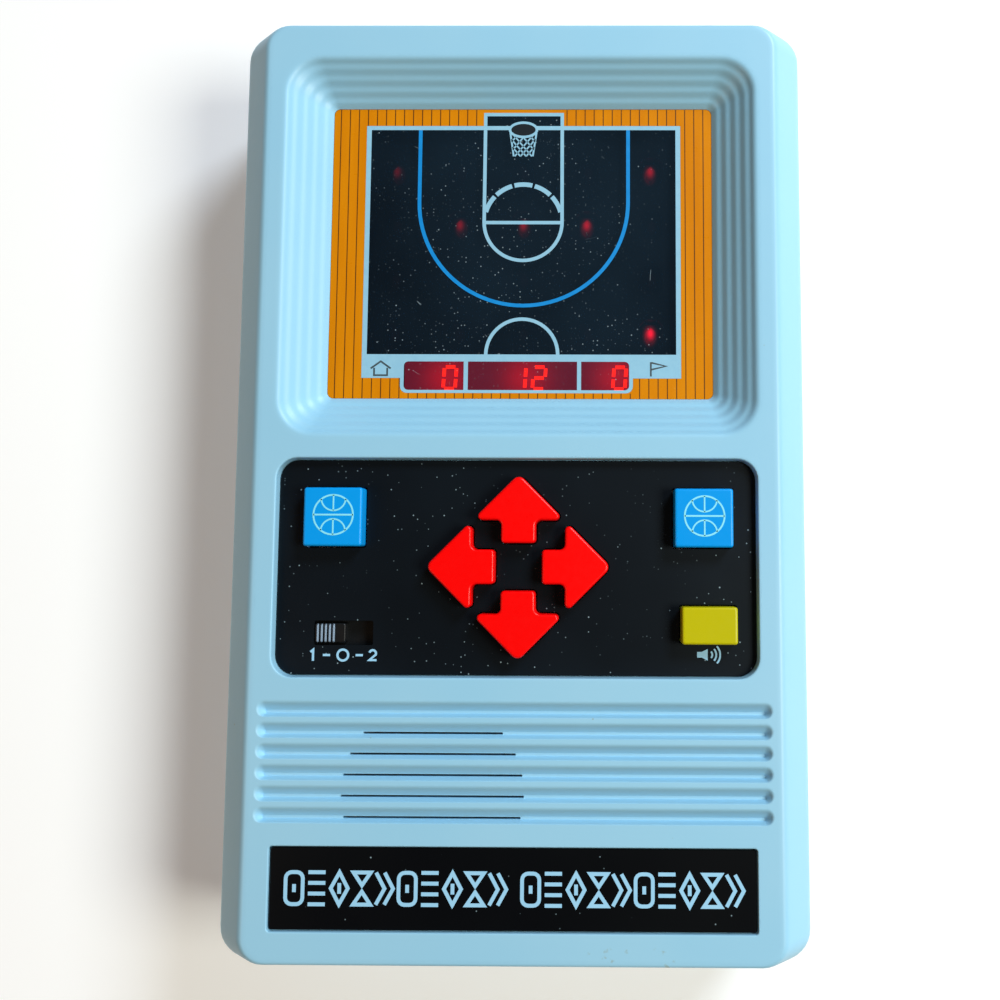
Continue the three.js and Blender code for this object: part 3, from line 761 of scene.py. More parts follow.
# Middle and half size of a block-shaped button, from its CAD solid less the hidden flange
def blockOf(node):
    halfX, halfY, _ = halfOf(node)
    return middleOf(node)[:2], halfX - buttonFlange, halfY - buttonFlange


buttonFlange = 1.0
blockButtons = {name: blockOf(name) for name in ("shoot_button_left", "shoot_button_right", "sound_button")}
switchHole = {"centre": (-26.25, -23.85), "half": (4.5, 1.85), "corner": 0.3, "trayGap": 0.45}
playGap = 0.22


def controlOutlines(gap, switchGap=0.0):
    outlines = [arrowOutline(turns, -gap) for turns in arrowTurns.values()]
    for centre, halfX, halfY in blockButtons.values():
        outlines.append(roundRect(centre, halfX + gap, halfY + gap, 0.4, 4))
    halfX, halfY = (half + switchGap for half in switchHole["half"])
    outlines.append(roundRect(switchHole["centre"], halfX, halfY, switchHole["corner"], 4))
    return outlines


def frontShell():
    shape = Shape()
    faceEdge = frontSide(shape)
    wellRim, wellBack = displayWell(shape)
    panelRim, panelFloor = openBay(shape, panelBay, 0.42, 0.12)
    plateRim, plateFloor = openBay(shape, plateBay, 0.22, 0.03)
    rims, slots = [], []
    for row in range(grille["count"]):
        outer, slot = grilleGroove(shape, row)
        rims.append(outer)
        if slot:
            slots.append(slot)
    shape.fill(faceEdge, [wellRim, panelRim, plateRim, *rims], faceZ)
    shape.fill(plateFloor, [], plateBay["floor"])
    # The switch hole is wider in the tray, so its edge hides under the panel
    holes = controlOutlines(playGap, switchHole["trayGap"])
    shape.fill(panelFloor, holes, panelBay["floor"])
    for hole in holes:
        shape.skin([(hole, panelBay["floor"]), (hole, panelBay["under"])])
    tray = roundRect((0, panelBay["middle"]), panelBay["half"][0] + 1.6, panelBay["half"][1] + 1.6, 2)
    shape.fill(tray, holes, panelBay["under"], up=False)
    shape.skin([(tray, panelBay["under"]), (tray, front["ceiling"])])
    wall = front["wall"]
    low = caseLow.z
    bevel, corner = front["seamBevel"], front["innerCorner"]
    inner = [(front["ceiling"], *front["ceilingHalf"], front["ceilingCorner"]),
             (faceZ - front["shoulder"], halfWide - wall, halfLong - wall, corner),
             (low, halfWide - wall, halfLong - wall, corner),
             (low, halfWide - bevel, halfLong - bevel, front["caseCorner"] - bevel)]
    rings = [ringOf((0, 0), state) for state in inner]
    shape.skin(rings)
    shape.fill(rings[0][0], [wellBack, tray, *slots], front["ceiling"], up=False)
    return place(shape.make("frontShell", paints["case"]), "case", "case_plastic", "front_casing")


frontShell()
print("front casing made")


# Control panel and title plate

def printedSheet(name, node, outline, holes, edge, paint, slot):
    low, high = nodeBox(node)
    shape = Shape()
    shape.skin([(outline(0), low.z), (outline(0), high.z - edge), (outline(edge), high.z)])
    shape.fill(outline(edge), holes, high.z)
    shape.fill(outline(0), holes, low.z, up=False)
    for hole in holes:
        shape.skin([(hole, high.z), (hole, low.z)])
    return place(shape.make(name, paints[paint]), "case", slot, node)


sheets = {"panelCorner": 3.0, "plateCorner": 0.35, "edge": 0.1}


def outlineOf(node, corner):
    low, high = nodeBox(node)
    half = (high - low) / 2
    return insetBox((low + high) / 2, half.x, half.y, corner, 8, 1)


printedSheet("controlPanel", "control_panel", outlineOf("control_panel", sheets["panelCorner"]),
             controlOutlines(playGap), sheets["edge"], "panel", "panel_print")
printedSheet("titlePlate", "title_plate", outlineOf("title_plate", sheets["plateCorner"]), [],
             sheets["edge"], "plate", "title_print")
panelTop = nodeBox("control_panel")[1].z
plateTop = nodeBox("title_plate")[1].z

titleMarks = {
    "words": 2, "pitch": 3.36, "perWord": 10, "wordStep": 35.1, "height": 4.6, "width": 2.55,
    "stroke": 0.55, "centre": (0.25, -61.2), "thickness": 0.05, "waist": 0.45,
}


# One word of geometric marks, drawn round the origin: oval, bars, diamond, hourglass, chevrons
def titleWord():
    mark = titleMarks
    shape = Shape()
    tall, wide, width = mark["height"] / 2, mark["width"] / 2, mark["stroke"]
    for k in range(mark["perWord"]):
        x = (k - (mark["perWord"] - 1) / 2) * mark["pitch"]
        kind = k % 5
        if kind == 0:
            lines = [(roundRect((x, 0), wide, tall, 0.9, 4), True), ([(x, -tall / 4), (x, tall / 4)], False)]
        elif kind == 1:
            lines = [([(x - wide, y), (x + wide, y)], False) for y in (-tall, -tall / 3, tall / 3, tall)]
        elif kind == 2:
            lines = [([(x, tall), (x - wide, 0), (x, -tall), (x + wide, 0)], True),
                     ([(x, tall / 3), (x, -tall / 3)], False)]
        elif kind == 3:
            lines = [([(x, side * mark["waist"]), (x + side * wide, side * tall),
                       (x - side * wide, side * tall)], True) for side in (1, -1)]
        else:
            lines = [([(x - wide + s, tall), (x + s, 0), (x - wide + s, -tall)], False)
                     for s in (0, wide)]
        for line, closed in lines:
            shape.stroke(line, width, mark["thickness"], mark["thickness"], closed)
    return shape


titleFrieze = copyOver("titleFrieze", titleWord(), paints["title"], (titleMarks["words"], 1),
                       (titleMarks["wordStep"], 0), (*titleMarks["centre"], plateTop + 0.002))
place(titleFrieze, "case", "title_print")
print("panel and title plate made")


# Buttons

buttonTop = {"gap": 0.035, "soft": 0.38, "squareCorner": 0.4, "cornerShare": 0.6}
ballMark = {"radius": 3.0, "stroke": 0.26, "seamMiddle": 2.5, "seamRadius": 1.86,
            "seamSweep": (184, 356), "shift": (0.1, 0.3)}


def pushButton(name, node, outline, paint, slot):
    low, high = nodeBox(node)
    shape = Shape()
    shape.slab(outline, low.z, high.z - buttonTop["gap"], buttonTop["soft"])
    place(shape.make(name, paints[paint]), node + "_body", slot, node)


for way, turns in arrowTurns.items():
    pushButton("arrow" + way.capitalize(), "arrow_button_" + way,
               lambda inset, turns=turns: arrowOutline(turns, inset), "red", "red_button")


def ballIcon(name, node, centre, top):
    mark = ballMark
    shape = Shape()
    x, y = centre[0] + mark["shift"][0], centre[1] + mark["shift"][1]
    radius, width = mark["radius"], mark["stroke"]
    shape.stroke(circle((x, y), radius, 48), width, top, 0.03, True)
    shape.stroke([(x - radius, y), (x + radius, y)], width, top)
    for side in (1, -1):
        dip = arc((0, mark["seamMiddle"]), mark["seamRadius"], *mark["seamSweep"])
        seam = [(x + px, y + side * py) for px, py in dip]
        shape.stroke(seam, width * 0.9, top)
        bottom = mark["seamMiddle"] - mark["seamRadius"]
        shape.stroke([(x, y + side * bottom), (x, y + side * radius)], width * 0.9, top)
    place(shape.make(name, paints["cyan"]), node + "_body", "blue_button")


for name, (centre, halfX, halfY) in blockButtons.items():
    colour = "yellow" if name == "sound_button" else "blue"
    title = capitals(name)
    outline = insetBox(centre, halfX, halfY, buttonTop["squareCorner"], 4, buttonTop["cornerShare"])
    pushButton(title[0].lower() + title[1:], name, outline, colour, colour + "_button")
    if colour == "blue":
        ballIcon("ball" + title, name, centre, nodeBox(name)[1].z - 0.005)

slider = {
    "knob": (2.35, 1.45), "knobLow": 25.9, "knobTop": 28.55, "shutter": (25.2, 26.0), "finger": (1.5, 1.0),
    "ridges": 5, "ridgeRun": 2.45, "ridgeShift": -0.62, "ridgeHalf": (0.13, 1.36), "ridgeHeight": 0.34,
}


def powerKnob():
    middle = middleOf("power_slider")[:2]
    low = nodeBox("power_slider")[0].z
    shape = Shape()
    shape.slab(insetBox(middle, *halfOf("power_slider")[:2], 0.5), *slider["shutter"], 0.1)
    shape.slab(insetBox(middle, *slider["knob"], 0.3), slider["knobLow"], slider["knobTop"], 0.2)
    shape.slab(insetBox(middle, *slider["finger"], 0.2), low, slider["shutter"][0] + 0.1)
    place(shape.make("powerKnob", paints["black"]), "power_slider_body", "black_plastic", "power_slider")
    # Ridges along the knob's top, coloured pale as a painted highlight on black plastic
    ridge = Shape()
    ridge.slab(insetBox((0, 0), *slider["ridgeHalf"], 0.1, 3), 0, slider["ridgeHeight"], 0.05)
    spot = (middle[0] + slider["ridgeShift"], middle[1], slider["knobTop"])
    ridges = copyOver("knobRidges", ridge, paints["ridge"], (slider["ridges"], 1),
                      (slider["ridgeRun"], 0), spot)
    place(ridges, "power_slider_body", "black_plastic")


powerKnob()

panelMarks = {
    "switch": (-26.3, -27.2), "sound": (29.3, -26.9), "height": 1.75, "stroke": 0.34, "spread": 4.55,
    "dash": 0.55, "lift": 0.03,
}


# The numbers 1 and 2 either side of a ring that stands for off, and a loudspeaker sign
def panelLabels():
    mark = panelMarks
    shape = Shape()
    top, width, tall = panelTop + mark["lift"], mark["stroke"], mark["height"] / 2
    x, y = mark["switch"]
    one = x - mark["spread"]
    shape.stroke([(one - 0.4, y + tall * 0.5), (one, y + tall - 0.1), (one, y - tall)], width, top)
    two = x + mark["spread"]
    curl = arc((two, y + tall - 0.62), 0.5, 165, -20, 12)
    shape.stroke([*curl, (two - 0.5, y - tall + 0.14), (two + 0.6, y - tall + 0.14)], width, top)
    for side in (-1, 1):
        middle = x + side * mark["spread"] * 0.55
        shape.stroke([(middle - mark["dash"], y), (middle + mark["dash"], y)], width, top)
    shape.stroke(circle((x, y), tall - 0.05, 24), width, top, 0.03, True)
    x, y = mark["sound"]
    horn = [(x - 1.7, y - 0.42), (x - 1.0, y - 0.42), (x - 0.1, y - tall), (x - 0.1, y + tall),
            (x - 1.0, y + 0.42), (x - 1.7, y + 0.42)]
    shape.solid([(horn, top - mark["lift"]), (horn, top)])
    for radius in (0.7, 1.3, 1.9):
        shape.stroke(arc((x - 0.1, y), radius, -42, 42, 10), width * 0.8, top)
    place(shape.make("panelLabels", paints["title"]), "case", "panel_print")


panelLabels()
print("buttons and switch made")


# Court printed on the window

paneTop = nodeBox("display_window")[1].z
court = {
    "left": -25.4, "right": 25.7, "low": 16.1, "high": 57.7, "innerLeft": -24.6, "innerRight": 24.9,
    "innerLow": 19.95, "innerHigh": 57.0, "keyLeft": -6.3, "keyRight": 6.75, "keyHigh": 59.9,
    "line": 0.56, "dash": 0.74, "dashPitch": 30.45, "dashTurn": 26.8, "freeThrow": 41.55,
    "circle": (0.24, 41.6), "radius": 6.3, "halfRing": (0.22, 5.75),
    "hoop": (0.16, 57.05), "hoopHalf": (2.2, 1.2), "hoopLine": 0.41, "netRim": 0.97, "netDrop": 0.5,
    "netLow": 52.6, "netHalf": 1.55, "netLine": 0.24, "netLean": 1.8, "netStep": 0.6,
}
printLift = {"low": 0.002, "lines": 0.028, "high": 0.03, "signs": 0.045}  # above the window
blueLine = {"left": -16.6, "right": 17.2, "high": 57.5, "turnAt": 44.9, "bottom": 27.9, "width": 0.6}
scoreBox = {
    "outer": (-19.2, 18.0, 13.7), "corner": 1.1, "low": 14.2, "high": 18.8,
    "windows": ((-18.6, -9.03), (-8.35, 9.08), (9.73, 17.39)),
}
planks = {"pitch": 1.475, "width": 0.13, "first": -29.62}


def printed(shape, name, paint):
    return place(shape.make(name, paints[paint]), "case", "title_print")


# A flat print with holes, as a thin closed sheet
def printSheet(shape, outer, holes, low, high):
    shape.fill(outer, holes, high)
    shape.fill(outer, holes, low, up=False)
    for outline in [outer] + holes:
        shape.skin([(outline, low), (outline, high)])


def courtOutline(grow, withKey):
    boxLeft, boxRight, boxLow = scoreBox["outer"]
    boxLeft, boxRight, boxLow = boxLeft - grow, boxRight + grow, boxLow - grow
    left, right = court["left"] - grow, court["right"] + grow
    low, high = court["low"] - grow, court["high"] + grow
    spots = [(left, low), (boxLeft, low), (boxLeft, boxLow), (boxRight, boxLow), (boxRight, low),
             (right, low), (right, high)]
    if withKey:
        keyLeft, keyRight = court["keyLeft"] - grow, court["keyRight"] + grow
        keyHigh = court["keyHigh"] + grow
        spots += [(keyRight, high), (keyRight, keyHigh), (keyLeft, keyHigh), (keyLeft, high)]
    spots.append((left, high))
    radii = [0.05] * len(spots)
    radii[2] = radii[3] = scoreBox["corner"]
    return softPolygon(spots, radii, 0, 4)


def paintedBorder():
    halfX, halfY, corner = (v - 0.04 for v in well["opening"])
    shape = Shape()
    outer = roundRect((0, well["middle"]), halfX, halfY, corner, 6)
    printSheet(shape, outer, [courtOutline(0, True)], paneTop + printLift["low"], paneTop + printLift["high"])
    printed(shape, "planks", "orange")
    high, low = well["middle"] + halfY, well["middle"] - halfY
    first, pitch = planks["first"], planks["pitch"]
    count = int((court["left"] - first) / pitch) + 1
    rightFirst = first + pitch * math.ceil((court["right"] + 0.3 - first) / pitch)
    topCount = int((rightFirst - first) / pitch) - count
    topFirst = first + pitch * count
    beforeKey = int((court["keyLeft"] - topFirst) / pitch) + 1
    pastKey = int((court["keyRight"] - topFirst) / pitch) + 1
    left, right, boxLow = scoreBox["outer"]
    beforeBox = math.ceil((left - topFirst) / pitch)
    inBox = sum(left < topFirst + i * pitch < right for i in range(topCount))
    pastBox = beforeBox + inBox
    runs = {
        "Left": (first, count, low, high),
        "Right": (rightFirst, count, low, high),
        "TopLeft": (topFirst, beforeKey, court["high"], high),
        "TopRight": (topFirst + pitch * pastKey, topCount - pastKey, court["high"], high),
        "LowLeft": (topFirst, beforeBox, low, court["low"]),
        "Low": (topFirst + pitch * beforeBox, inBox, low, boxLow),
        "LowRight": (topFirst + pitch * pastBox, topCount - pastBox, low, court["low"]),
    }
    for run, (start, columns, bottom, top) in runs.items():
        bar = Shape()
        reach = (top - bottom) / 2 - 0.03
        bar.stroke([(0, -reach), (0, reach)], planks["width"], 0.02, 0.02)
        length = pitch * (columns - 1)
        middle = (start + length / 2, (bottom + top) / 2, paneTop + printLift["high"])
        lines = copyOver("plankLines" + run, bar, paints["plank"], (columns, 1), (length, 0), middle)
        place(lines, "case", "title_print")


def boxCorners(left, right, low, high):
    return [(left, low), (right, low), (right, high), (left, high)]


def paleFrame():
    shape = Shape()
    windows = []
    last = len(scoreBox["windows"]) - 1
    for i, (left, right) in enumerate(scoreBox["windows"]):
        soft = [0.7 if (i == 0 and k in (0, 3)) or (i == last and k in (1, 2)) else 0.05 for k in range(4)]
        windows.append(softPolygon(boxCorners(left, right, scoreBox["low"], scoreBox["high"]), soft, 0, 4))
    field = boxCorners(court["innerLeft"], court["innerRight"], court["innerLow"], court["innerHigh"])
    inner = softPolygon(field, [0.05] * 4, 0, 2)
    printSheet(shape, courtOutline(-0.02, False), [inner, *windows],
               paneTop + printLift["low"], paneTop + printLift["high"])
    printed(shape, "courtFrame", "pale")


def courtLines():
    shape = Shape()
    top, width = paneTop + printLift["lines"], court["line"]
    left, right = court["keyLeft"] + width / 2, court["keyRight"] - width / 2
    x, y = court["circle"]
    high = court["keyHigh"] - width / 2
    fieldLow, fieldHigh = court["innerLow"], court["innerHigh"]
    bend = arc((x, y), court["radius"], 180, 360, 32)
    shape.stroke([(left, high), *bend, (right, high)], width, top, closed=True)
    shape.stroke([(left, court["freeThrow"]), (right, court["freeThrow"])], width, top + 0.006)
    for k in range(5):
        start = 90 + (k - 2) * court["dashPitch"] - court["dashTurn"] / 2
        dash = arc((x, y), court["radius"] - 0.02, start, start + court["dashTurn"], 8)
        shape.stroke(dash, court["dash"], top + 0.003)
    ringX, ringRadius = court["halfRing"]
    bend = arc((ringX, fieldLow), ringRadius, 2, 178, 28)
    ends = [(ringX + side * ringRadius, fieldLow - 0.2) for side in (1, -1)]
    shape.stroke([ends[0], *bend, ends[1]], width, top)
    hoopX, hoopY = court["hoop"]
    wide, tall = court["hoopHalf"]
    for edge, side in ((left, -1), (right, 1)):
        shape.stroke([(edge, fieldHigh + 0.33), (hoopX + side * wide, fieldHigh + 0.33)], width, top)
    netTop, netLow, lean = hoopY - court["netDrop"], court["netLow"], court["netLean"]
    rim, foot = wide * court["netRim"], court["netHalf"]
    spot = lambda u, t: (hoopX + u * (rim + (foot - rim) * t), netTop + (netLow - netTop) * t)
    for side in (1, -1):
        shape.stroke([spot(side, 0), spot(side, 1)], court["netLine"] * 1.2, top + 0.004)
        for k in range(-4, 5):
            start = k * court["netStep"] - lean / 2
            enter = max(0.0, (-1 - start) / lean)
            leave = min(1.0, (1 - start) / lean)
            if leave - enter > 0.1:
                strand = [spot(side * (start + lean * t), t) for t in (enter, leave)]
                shape.stroke(strand, court["netLine"], top + 0.004)
    ring = [(hoopX + px, hoopY + py * tall / wide) for px, py in circle((0, 0), wide, 32)]
    shape.stroke(ring, court["hoopLine"], top + 0.014, closed=True)
    mouth = Shape()  # covers the end line and the net's ends inside the ring
    printSheet(mouth, ring, [], top + 0.005, top + 0.01)
    printed(mouth, "hoopMouth", "mouth")
    printed(shape, "courtLines", "pale")
    shape = Shape()
    left, right = blueLine["left"], blueLine["right"]
    radius = (right - left) / 2
    middle = (left + right) / 2
    squash = (blueLine["turnAt"] - blueLine["bottom"]) / radius
    bend = arc((middle, blueLine["turnAt"]), radius, 180, 360, 48, squash)
    shape.stroke([(left, blueLine["high"]), *bend, (right, blueLine["high"])], blueLine["width"], top)
    printed(shape, "threePointLine", "courtBlue")


# A house for the home side and a flag for the visitors, in place of words, as strokes round their middles
sideMarks = {
    "height": 17.55, "stroke": 0.28, "flagShift": 0.1,
    "house": [[(-1.6, 0.1), (0, 1.25), (1.6, 0.1)], [(-1.05, 0.2), (-1.05, -1.0), (1.05, -1.0), (1.05, 0.2)]],
    "flag": [[(-1.1, -1.1), (-1.1, 1.2)], [(-1.0, 1.1), (1.3, 0.55), (-1.0, 0)]],
}


def sideSigns():
    shape = Shape()
    left, right, _ = scoreBox["outer"]
    middles = {"house": (court["left"] + left) / 2,
               "flag": (court["right"] + right) / 2 + sideMarks["flagShift"]}
    for sign, middle in middles.items():
        for line in sideMarks[sign]:
            spots = [(middle + x, sideMarks["height"] + y) for x, y in line]
            shape.stroke(spots, sideMarks["stroke"], paneTop + printLift["signs"])
    printed(shape, "sideSigns", "dark")


paintedBorder()
paleFrame()
courtLines()
sideSigns()
print("court prints made")


# Lamps and figures behind the window

litLamps = {"court_lamp_1_1": 0.5, "court_lamp_1_5": 2.0, "court_lamp_2_2": 1.2, "court_lamp_2_3": 1.4,
            "court_lamp_2_4": 2.6, "court_lamp_4_5": 7.0}
glowShift = (-0.1, 0.3)  # the chips sit a little off their lenses' middles
figures = {
    "height": 3.55, "width": 1.95, "stroke": 0.58, "glow": 9.0, "backGlow": 2.4, "slant": 0.06, "row": 16.55,
    "halo": (3.4, 3.2), "back": (0.3, 0.006, 0.03),
    "home": ("0", -11.55), "clock": ("12", 1.3), "visitor": ("0", 15.9), "step": 3.2, "top": 21.98,
}
segmentsOf = {"0": "abcdef", "1": "bc", "2": "abged"}
segmentEnds = {
    "a": ((-1, 1), (1, 1)), "b": ((1, 1), (1, 0)), "c": ((1, 0), (1, -1)), "d": ((-1, -1), (1, -1)),
    "e": ((-1, 0), (-1, -1)), "f": ((-1, 1), (-1, 0)), "g": ((-1, 0), (1, 0)),
}
for node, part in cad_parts.items():
    if node.startswith("court_lamp"):
        centre = [middle + shift for middle, shift in zip(middleOf(node), glowShift)]
        glow = litLamps.get(node)
        paint = lampPaint(node + "Glow", glow, centre) if glow else paints["unlit"]
        part.material_slots[0].material = paint

paints["figure"] = lampPaint("litFigure", figures["glow"])


def scoreFigures():
    shape = Shape()
    for side in ("home", "clock", "visitor"):
        text, middle = figures[side]
        for k, figure in enumerate(text):
            x = middle + (k - (len(text) - 1) / 2) * figures["step"]
            for segment in segmentsOf[figure]:
                ends = []
                for sx, sy in segmentEnds[segment]:
                    py = sy * figures["height"] / 2
                    px = x + sx * figures["width"] / 2 + figures["slant"] * py
                    ends.append(Vector((px, figures["row"] + py)))
                gap = (ends[1] - ends[0]).normalized() * figures["stroke"] * 0.35
                shape.stroke([ends[0] + gap, ends[1] - gap], figures["stroke"], figures["top"], 0.06)
    place(shape.make("scoreFigures", paints["figure"]), "case", "digit_block")


scoreFigures()
for side in ("home", "clock", "visitor"):
    spot = (figures[side][1] - 0.6, figures["row"])
    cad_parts[side + "_digits"].material_slots[0].material = lampPaint(
        side + "Block", figures["backGlow"], spot, figures["halo"], figures["back"])
print("lamps and figures lit")


# Rear casing

rear = {
    "bottomInset": 0.8, "bottomRadius": 3.2, "seam": 12.85, "bevel": 0.3, "lip": 1.4, "floor": 2.0,
    "bay": (27.0, -52.6, -19.4, 14.0), "bayWall": 1.5, "recess": 2.5, "ledge": 4.0, "gap": 0.3,
    "counterbore": 3.0, "boreTop": 6.85, "screwHole": 1.5, "postRadius": 4.3, "postTop": 11.0,
    "doorHole": 1.3, "doorHoleTop": 7.0, "boss": 3.4, "bossTop": 8.5, "bayEnds": 1.9,
}
caseScrews = [f"case_screw_{k}" for k in (1, 2, 3, 4)]
screwSpots = [middleOf(node)[:2] for node in caseScrews]
doorScrewSpot = middleOf("battery_door_screw")[:2]
doorLow, doorHigh = nodeBox("battery_door")
door = {"corner": 1.2, "earHalf": 5.0, "earTop": -54.1, "earCorner": 2.2, "hinge": -17.9,
        "thick": (0.4, 2.2), "soft": 0.35}


def doorOutline(inset):
    wide, ear = doorHigh.x, door["earHalf"]
    spots = [(wide, door["hinge"]), (-wide, door["hinge"]), (-wide, door["earTop"]), (-ear, door["earTop"]),
             (-ear, doorLow.y), (ear, doorLow.y), (ear, door["earTop"]), (wide, door["earTop"])]
    radii = [door["corner"]] * 3 + [0.6, door["earCorner"], door["earCorner"], 0.6, door["corner"]]
    return softPolygon(spots, radii, inset, 4)


def rearShell():
    wide, long, corner = halfWide, halfLong, front["caseCorner"]
    inset = rear["bottomInset"]
    seam, bevel = rear["seam"], rear["bevel"]
    wall = front["wall"]
    flat = inset + rear["bottomRadius"] + 0.2
    size = lambda d: (wide - d, long - d, max(corner - d, 0.8))
    outer = softPath([(0.0, *size(flat)), (0.0, *size(inset)), (seam - bevel, *size(0)), (seam, *size(bevel)),
                      (seam, *size(bevel + 0.2))], (rear["bottomRadius"], 0.12, 0.05), 6)
    lip = rear["lip"]
    states = outer + [(seam, *size(lip)), (seam + lip, *size(lip)), (seam + lip, *size(wall)),
                      (rear["floor"], *size(wall + 0.9))]
    rings = [ringOf((0, 0), state) for state in states]
    shape = Shape()
    shape.skin(rings)
    recess = doorOutline(-rear["gap"])
    counterbores = [circle(spot, rear["counterbore"], 28) for spot in screwSpots]
    posts = [circle(spot, rear["postRadius"], 28) for spot in screwSpots]
    halfX, low, high, top = rear["bay"]
    centre = (0, (low + high) / 2)
    bay = roundRect(centre, halfX, (high - low) / 2, 0.8, 4)
    bayWall = rear["bayWall"]
    bayOuter = roundRect(centre, halfX + bayWall + rear["bayEnds"], (high - low) / 2 + bayWall, 1.2, 4)
    recessOuter = doorOutline(-rear["gap"] - bayWall - 0.6)
    doorHole = circle((0, doorScrewSpot[1]), rear["doorHole"], 20)
    shape.fill(rings[0][0], [recess, *counterbores], 0, up=False)
    shape.skin([(recess, 0), (recess, rear["recess"])])
    shape.fill(recess, [bay, doorHole], rear["recess"], up=False)
    shape.skin([(doorHole, rear["recess"]), (doorHole, rear["doorHoleTop"])])
    shape.cap(shape.loop(doorHole, rear["doorHoleTop"]), up=False)
    shape.skin([(bay, rear["recess"]), (bay, top)])
    shape.cap(shape.loop(bay, top), up=False)
    for spot, bore, post in zip(screwSpots, counterbores, posts):
        hole = circle(spot, rear["screwHole"], 28)
        shape.skin([(bore, 0), (bore, rear["boreTop"]), (hole, rear["boreTop"]), (hole, rear["postTop"]),
                    (post, rear["postTop"]), (post, rear["floor"])])
    shape.fill(rings[-1][0], [recessOuter, *posts], rear["floor"])
    boss = circle((0, doorScrewSpot[1]), rear["boss"], 24)
    shape.skin([(recessOuter, rear["floor"]), (recessOuter, rear["ledge"])])
    shape.fill(recessOuter, [bayOuter, boss], rear["ledge"])
    for outline, height in ((boss, rear["bossTop"]), (bayOuter, top + bayWall)):
        shape.skin([(outline, rear["ledge"]), (outline, height)])
        shape.cap(shape.loop(outline, height))
    place(shape.make("rearShell", paints["case"]), "case", "case_plastic", "rear_casing")


rearShell()

doorBore = {"radius": 2.8, "hole": 1.4, "shelf": 1.6}
doorTongue = {"places": (-14, 14), "y": -19.3, "half": (3, 1.2), "corner": 0.3, "soft": 0.2, "sunk": 0.1}
doorGrip = {"ridges": 7, "pitch": 1.7, "half": (9.0, 0.35), "height": 0.32, "middle": -46.0}


def batteryDoor():
    shape = Shape()
    low, high = door["thick"]
    bore, hole = (circle(doorScrewSpot, doorBore[key]) for key in ("radius", "hole"))
    soft, shelf = door["soft"], doorBore["shelf"]
    rings = [(doorOutline(0), high), (doorOutline(0), low + soft)]
    for inward, climb in quarterRound():
        rings.append((doorOutline(soft * inward), low + soft * (1 - climb)))
    shape.skin(rings)
    shape.fill(rings[-1][0], [bore], low, up=False)
    shape.skin([(bore, low), (bore, shelf), (hole, shelf), (hole, high)])
    shape.fill(rings[0][0], [hole], high)
    for x in doorTongue["places"]:
        tongue = insetBox((x, doorTongue["y"]), *doorTongue["half"], doorTongue["corner"], 3)
        shape.slab(tongue, high - doorTongue["sunk"], doorHigh.z, doorTongue["soft"])
    place(shape.make("batteryDoor", paints["case"]), "door", "case_plastic", "battery_door")
    ridge = Shape()
    halfX, halfY = doorGrip["half"]
    height = doorGrip["height"]
    rounded = [(roundRect((0, 0), halfX - d, halfY - d, halfY - d - 0.01, 4), z)
               for d, z in ((0, 0.06), (0, -height * 0.4), (0.1, -height * 0.8), (0.24, -height))]
    first, last = ridge.skin(rounded)
    ridge.cap(first)
    ridge.cap(last, up=False)
    span = doorGrip["pitch"] * (doorGrip["ridges"] - 1)
    grip = copyOver("doorGrip", ridge, paints["case"], (1, doorGrip["ridges"]), (0, span),
                    (0, doorGrip["middle"], low))
    place(grip, "door", "case_plastic")


batteryDoor()


# Screws, cells and contacts

screws = {
    "head": 2.6, "flat": 0.72, "crown": 0.55, "arm": 1.55, "slot": 0.32, "depth": 0.75, "taper": 0.6,
    "shank": 1.1, "root": 0.78, "pitch": 0.9, "tip": 1.0, "caseHead": 1.8, "doorHead": 1.0, "sharp": 40,
}


# Pan-head screw about the origin, head downwards, with a cross recess and a threaded shank
def panScrew(headHeight, length):
    shape = Shape()
    radius, crown = screws["head"], screws["crown"]
    arm, half, depth = screws["arm"], screws["slot"], screws["depth"]
    corners, quarter = [], [(half, half), (half, arm), (-half, arm)]
    for _ in range(4):
        corners += quarter
        quarter = [(-y, x) for x, y in quarter]
    cross = softPolygon(corners, [0.1] * len(corners), 0, 2)
    tip = [(x * screws["taper"], y * screws["taper"]) for x, y in cross]
    topRing = circle((0, 0), radius * screws["flat"])
    shape.fill(topRing, [cross], 0, up=False)
    shape.skin([(cross, 0), (tip, depth)])
    shape.cap(shape.loop(tip, depth), up=False)
    rings = [(radius * screws["flat"], 0)]
    for inward, climb in quarterRound():
        rings.append((radius * (screws["flat"] + (1 - screws["flat"]) * climb), crown * inward))
    shank, root = screws["shank"], screws["shank"] * screws["root"]
    rings += [(radius, headHeight), (shank, headHeight)]
    run = length - headHeight - screws["tip"] - 0.2
    turns = max(2, round(run / screws["pitch"]))
    for k in range(turns):
        base = headHeight + 0.2 + run * k / turns
        rings += [(root, base), (shank, base + run / turns / 2)]
    rings += [(root, length - screws["tip"]), (0.1, length)]
    shape.cap(shape.skin([(circle((0, 0), reach), z) for reach, z in rings])[1])
    return shape


def screwsOver(name, nodes, headHeight, counts, spans, middle, body):
    low, high = nodeBox(nodes[0])
    shape = panScrew(headHeight, high.z - low.z)
    piece = copyOver(name, shape, paints["steel"], counts, spans, (*middle, low.z), screws["sharp"])
    place(piece, body, "screw_steel", *nodes)


screwSpans = (screwSpots[1][0] - screwSpots[0][0], screwSpots[0][1] - screwSpots[2][1])
screwMiddle = (0, (screwSpots[0][1] + screwSpots[2][1]) / 2)
screwsOver("caseScrews", caseScrews, screws["caseHead"], (2, 2), screwSpans, screwMiddle, "case")
screwsOver("doorScrew", ["battery_door_screw"], screws["doorHead"], (1, 1), (0, 0), doorScrewSpot, "door")

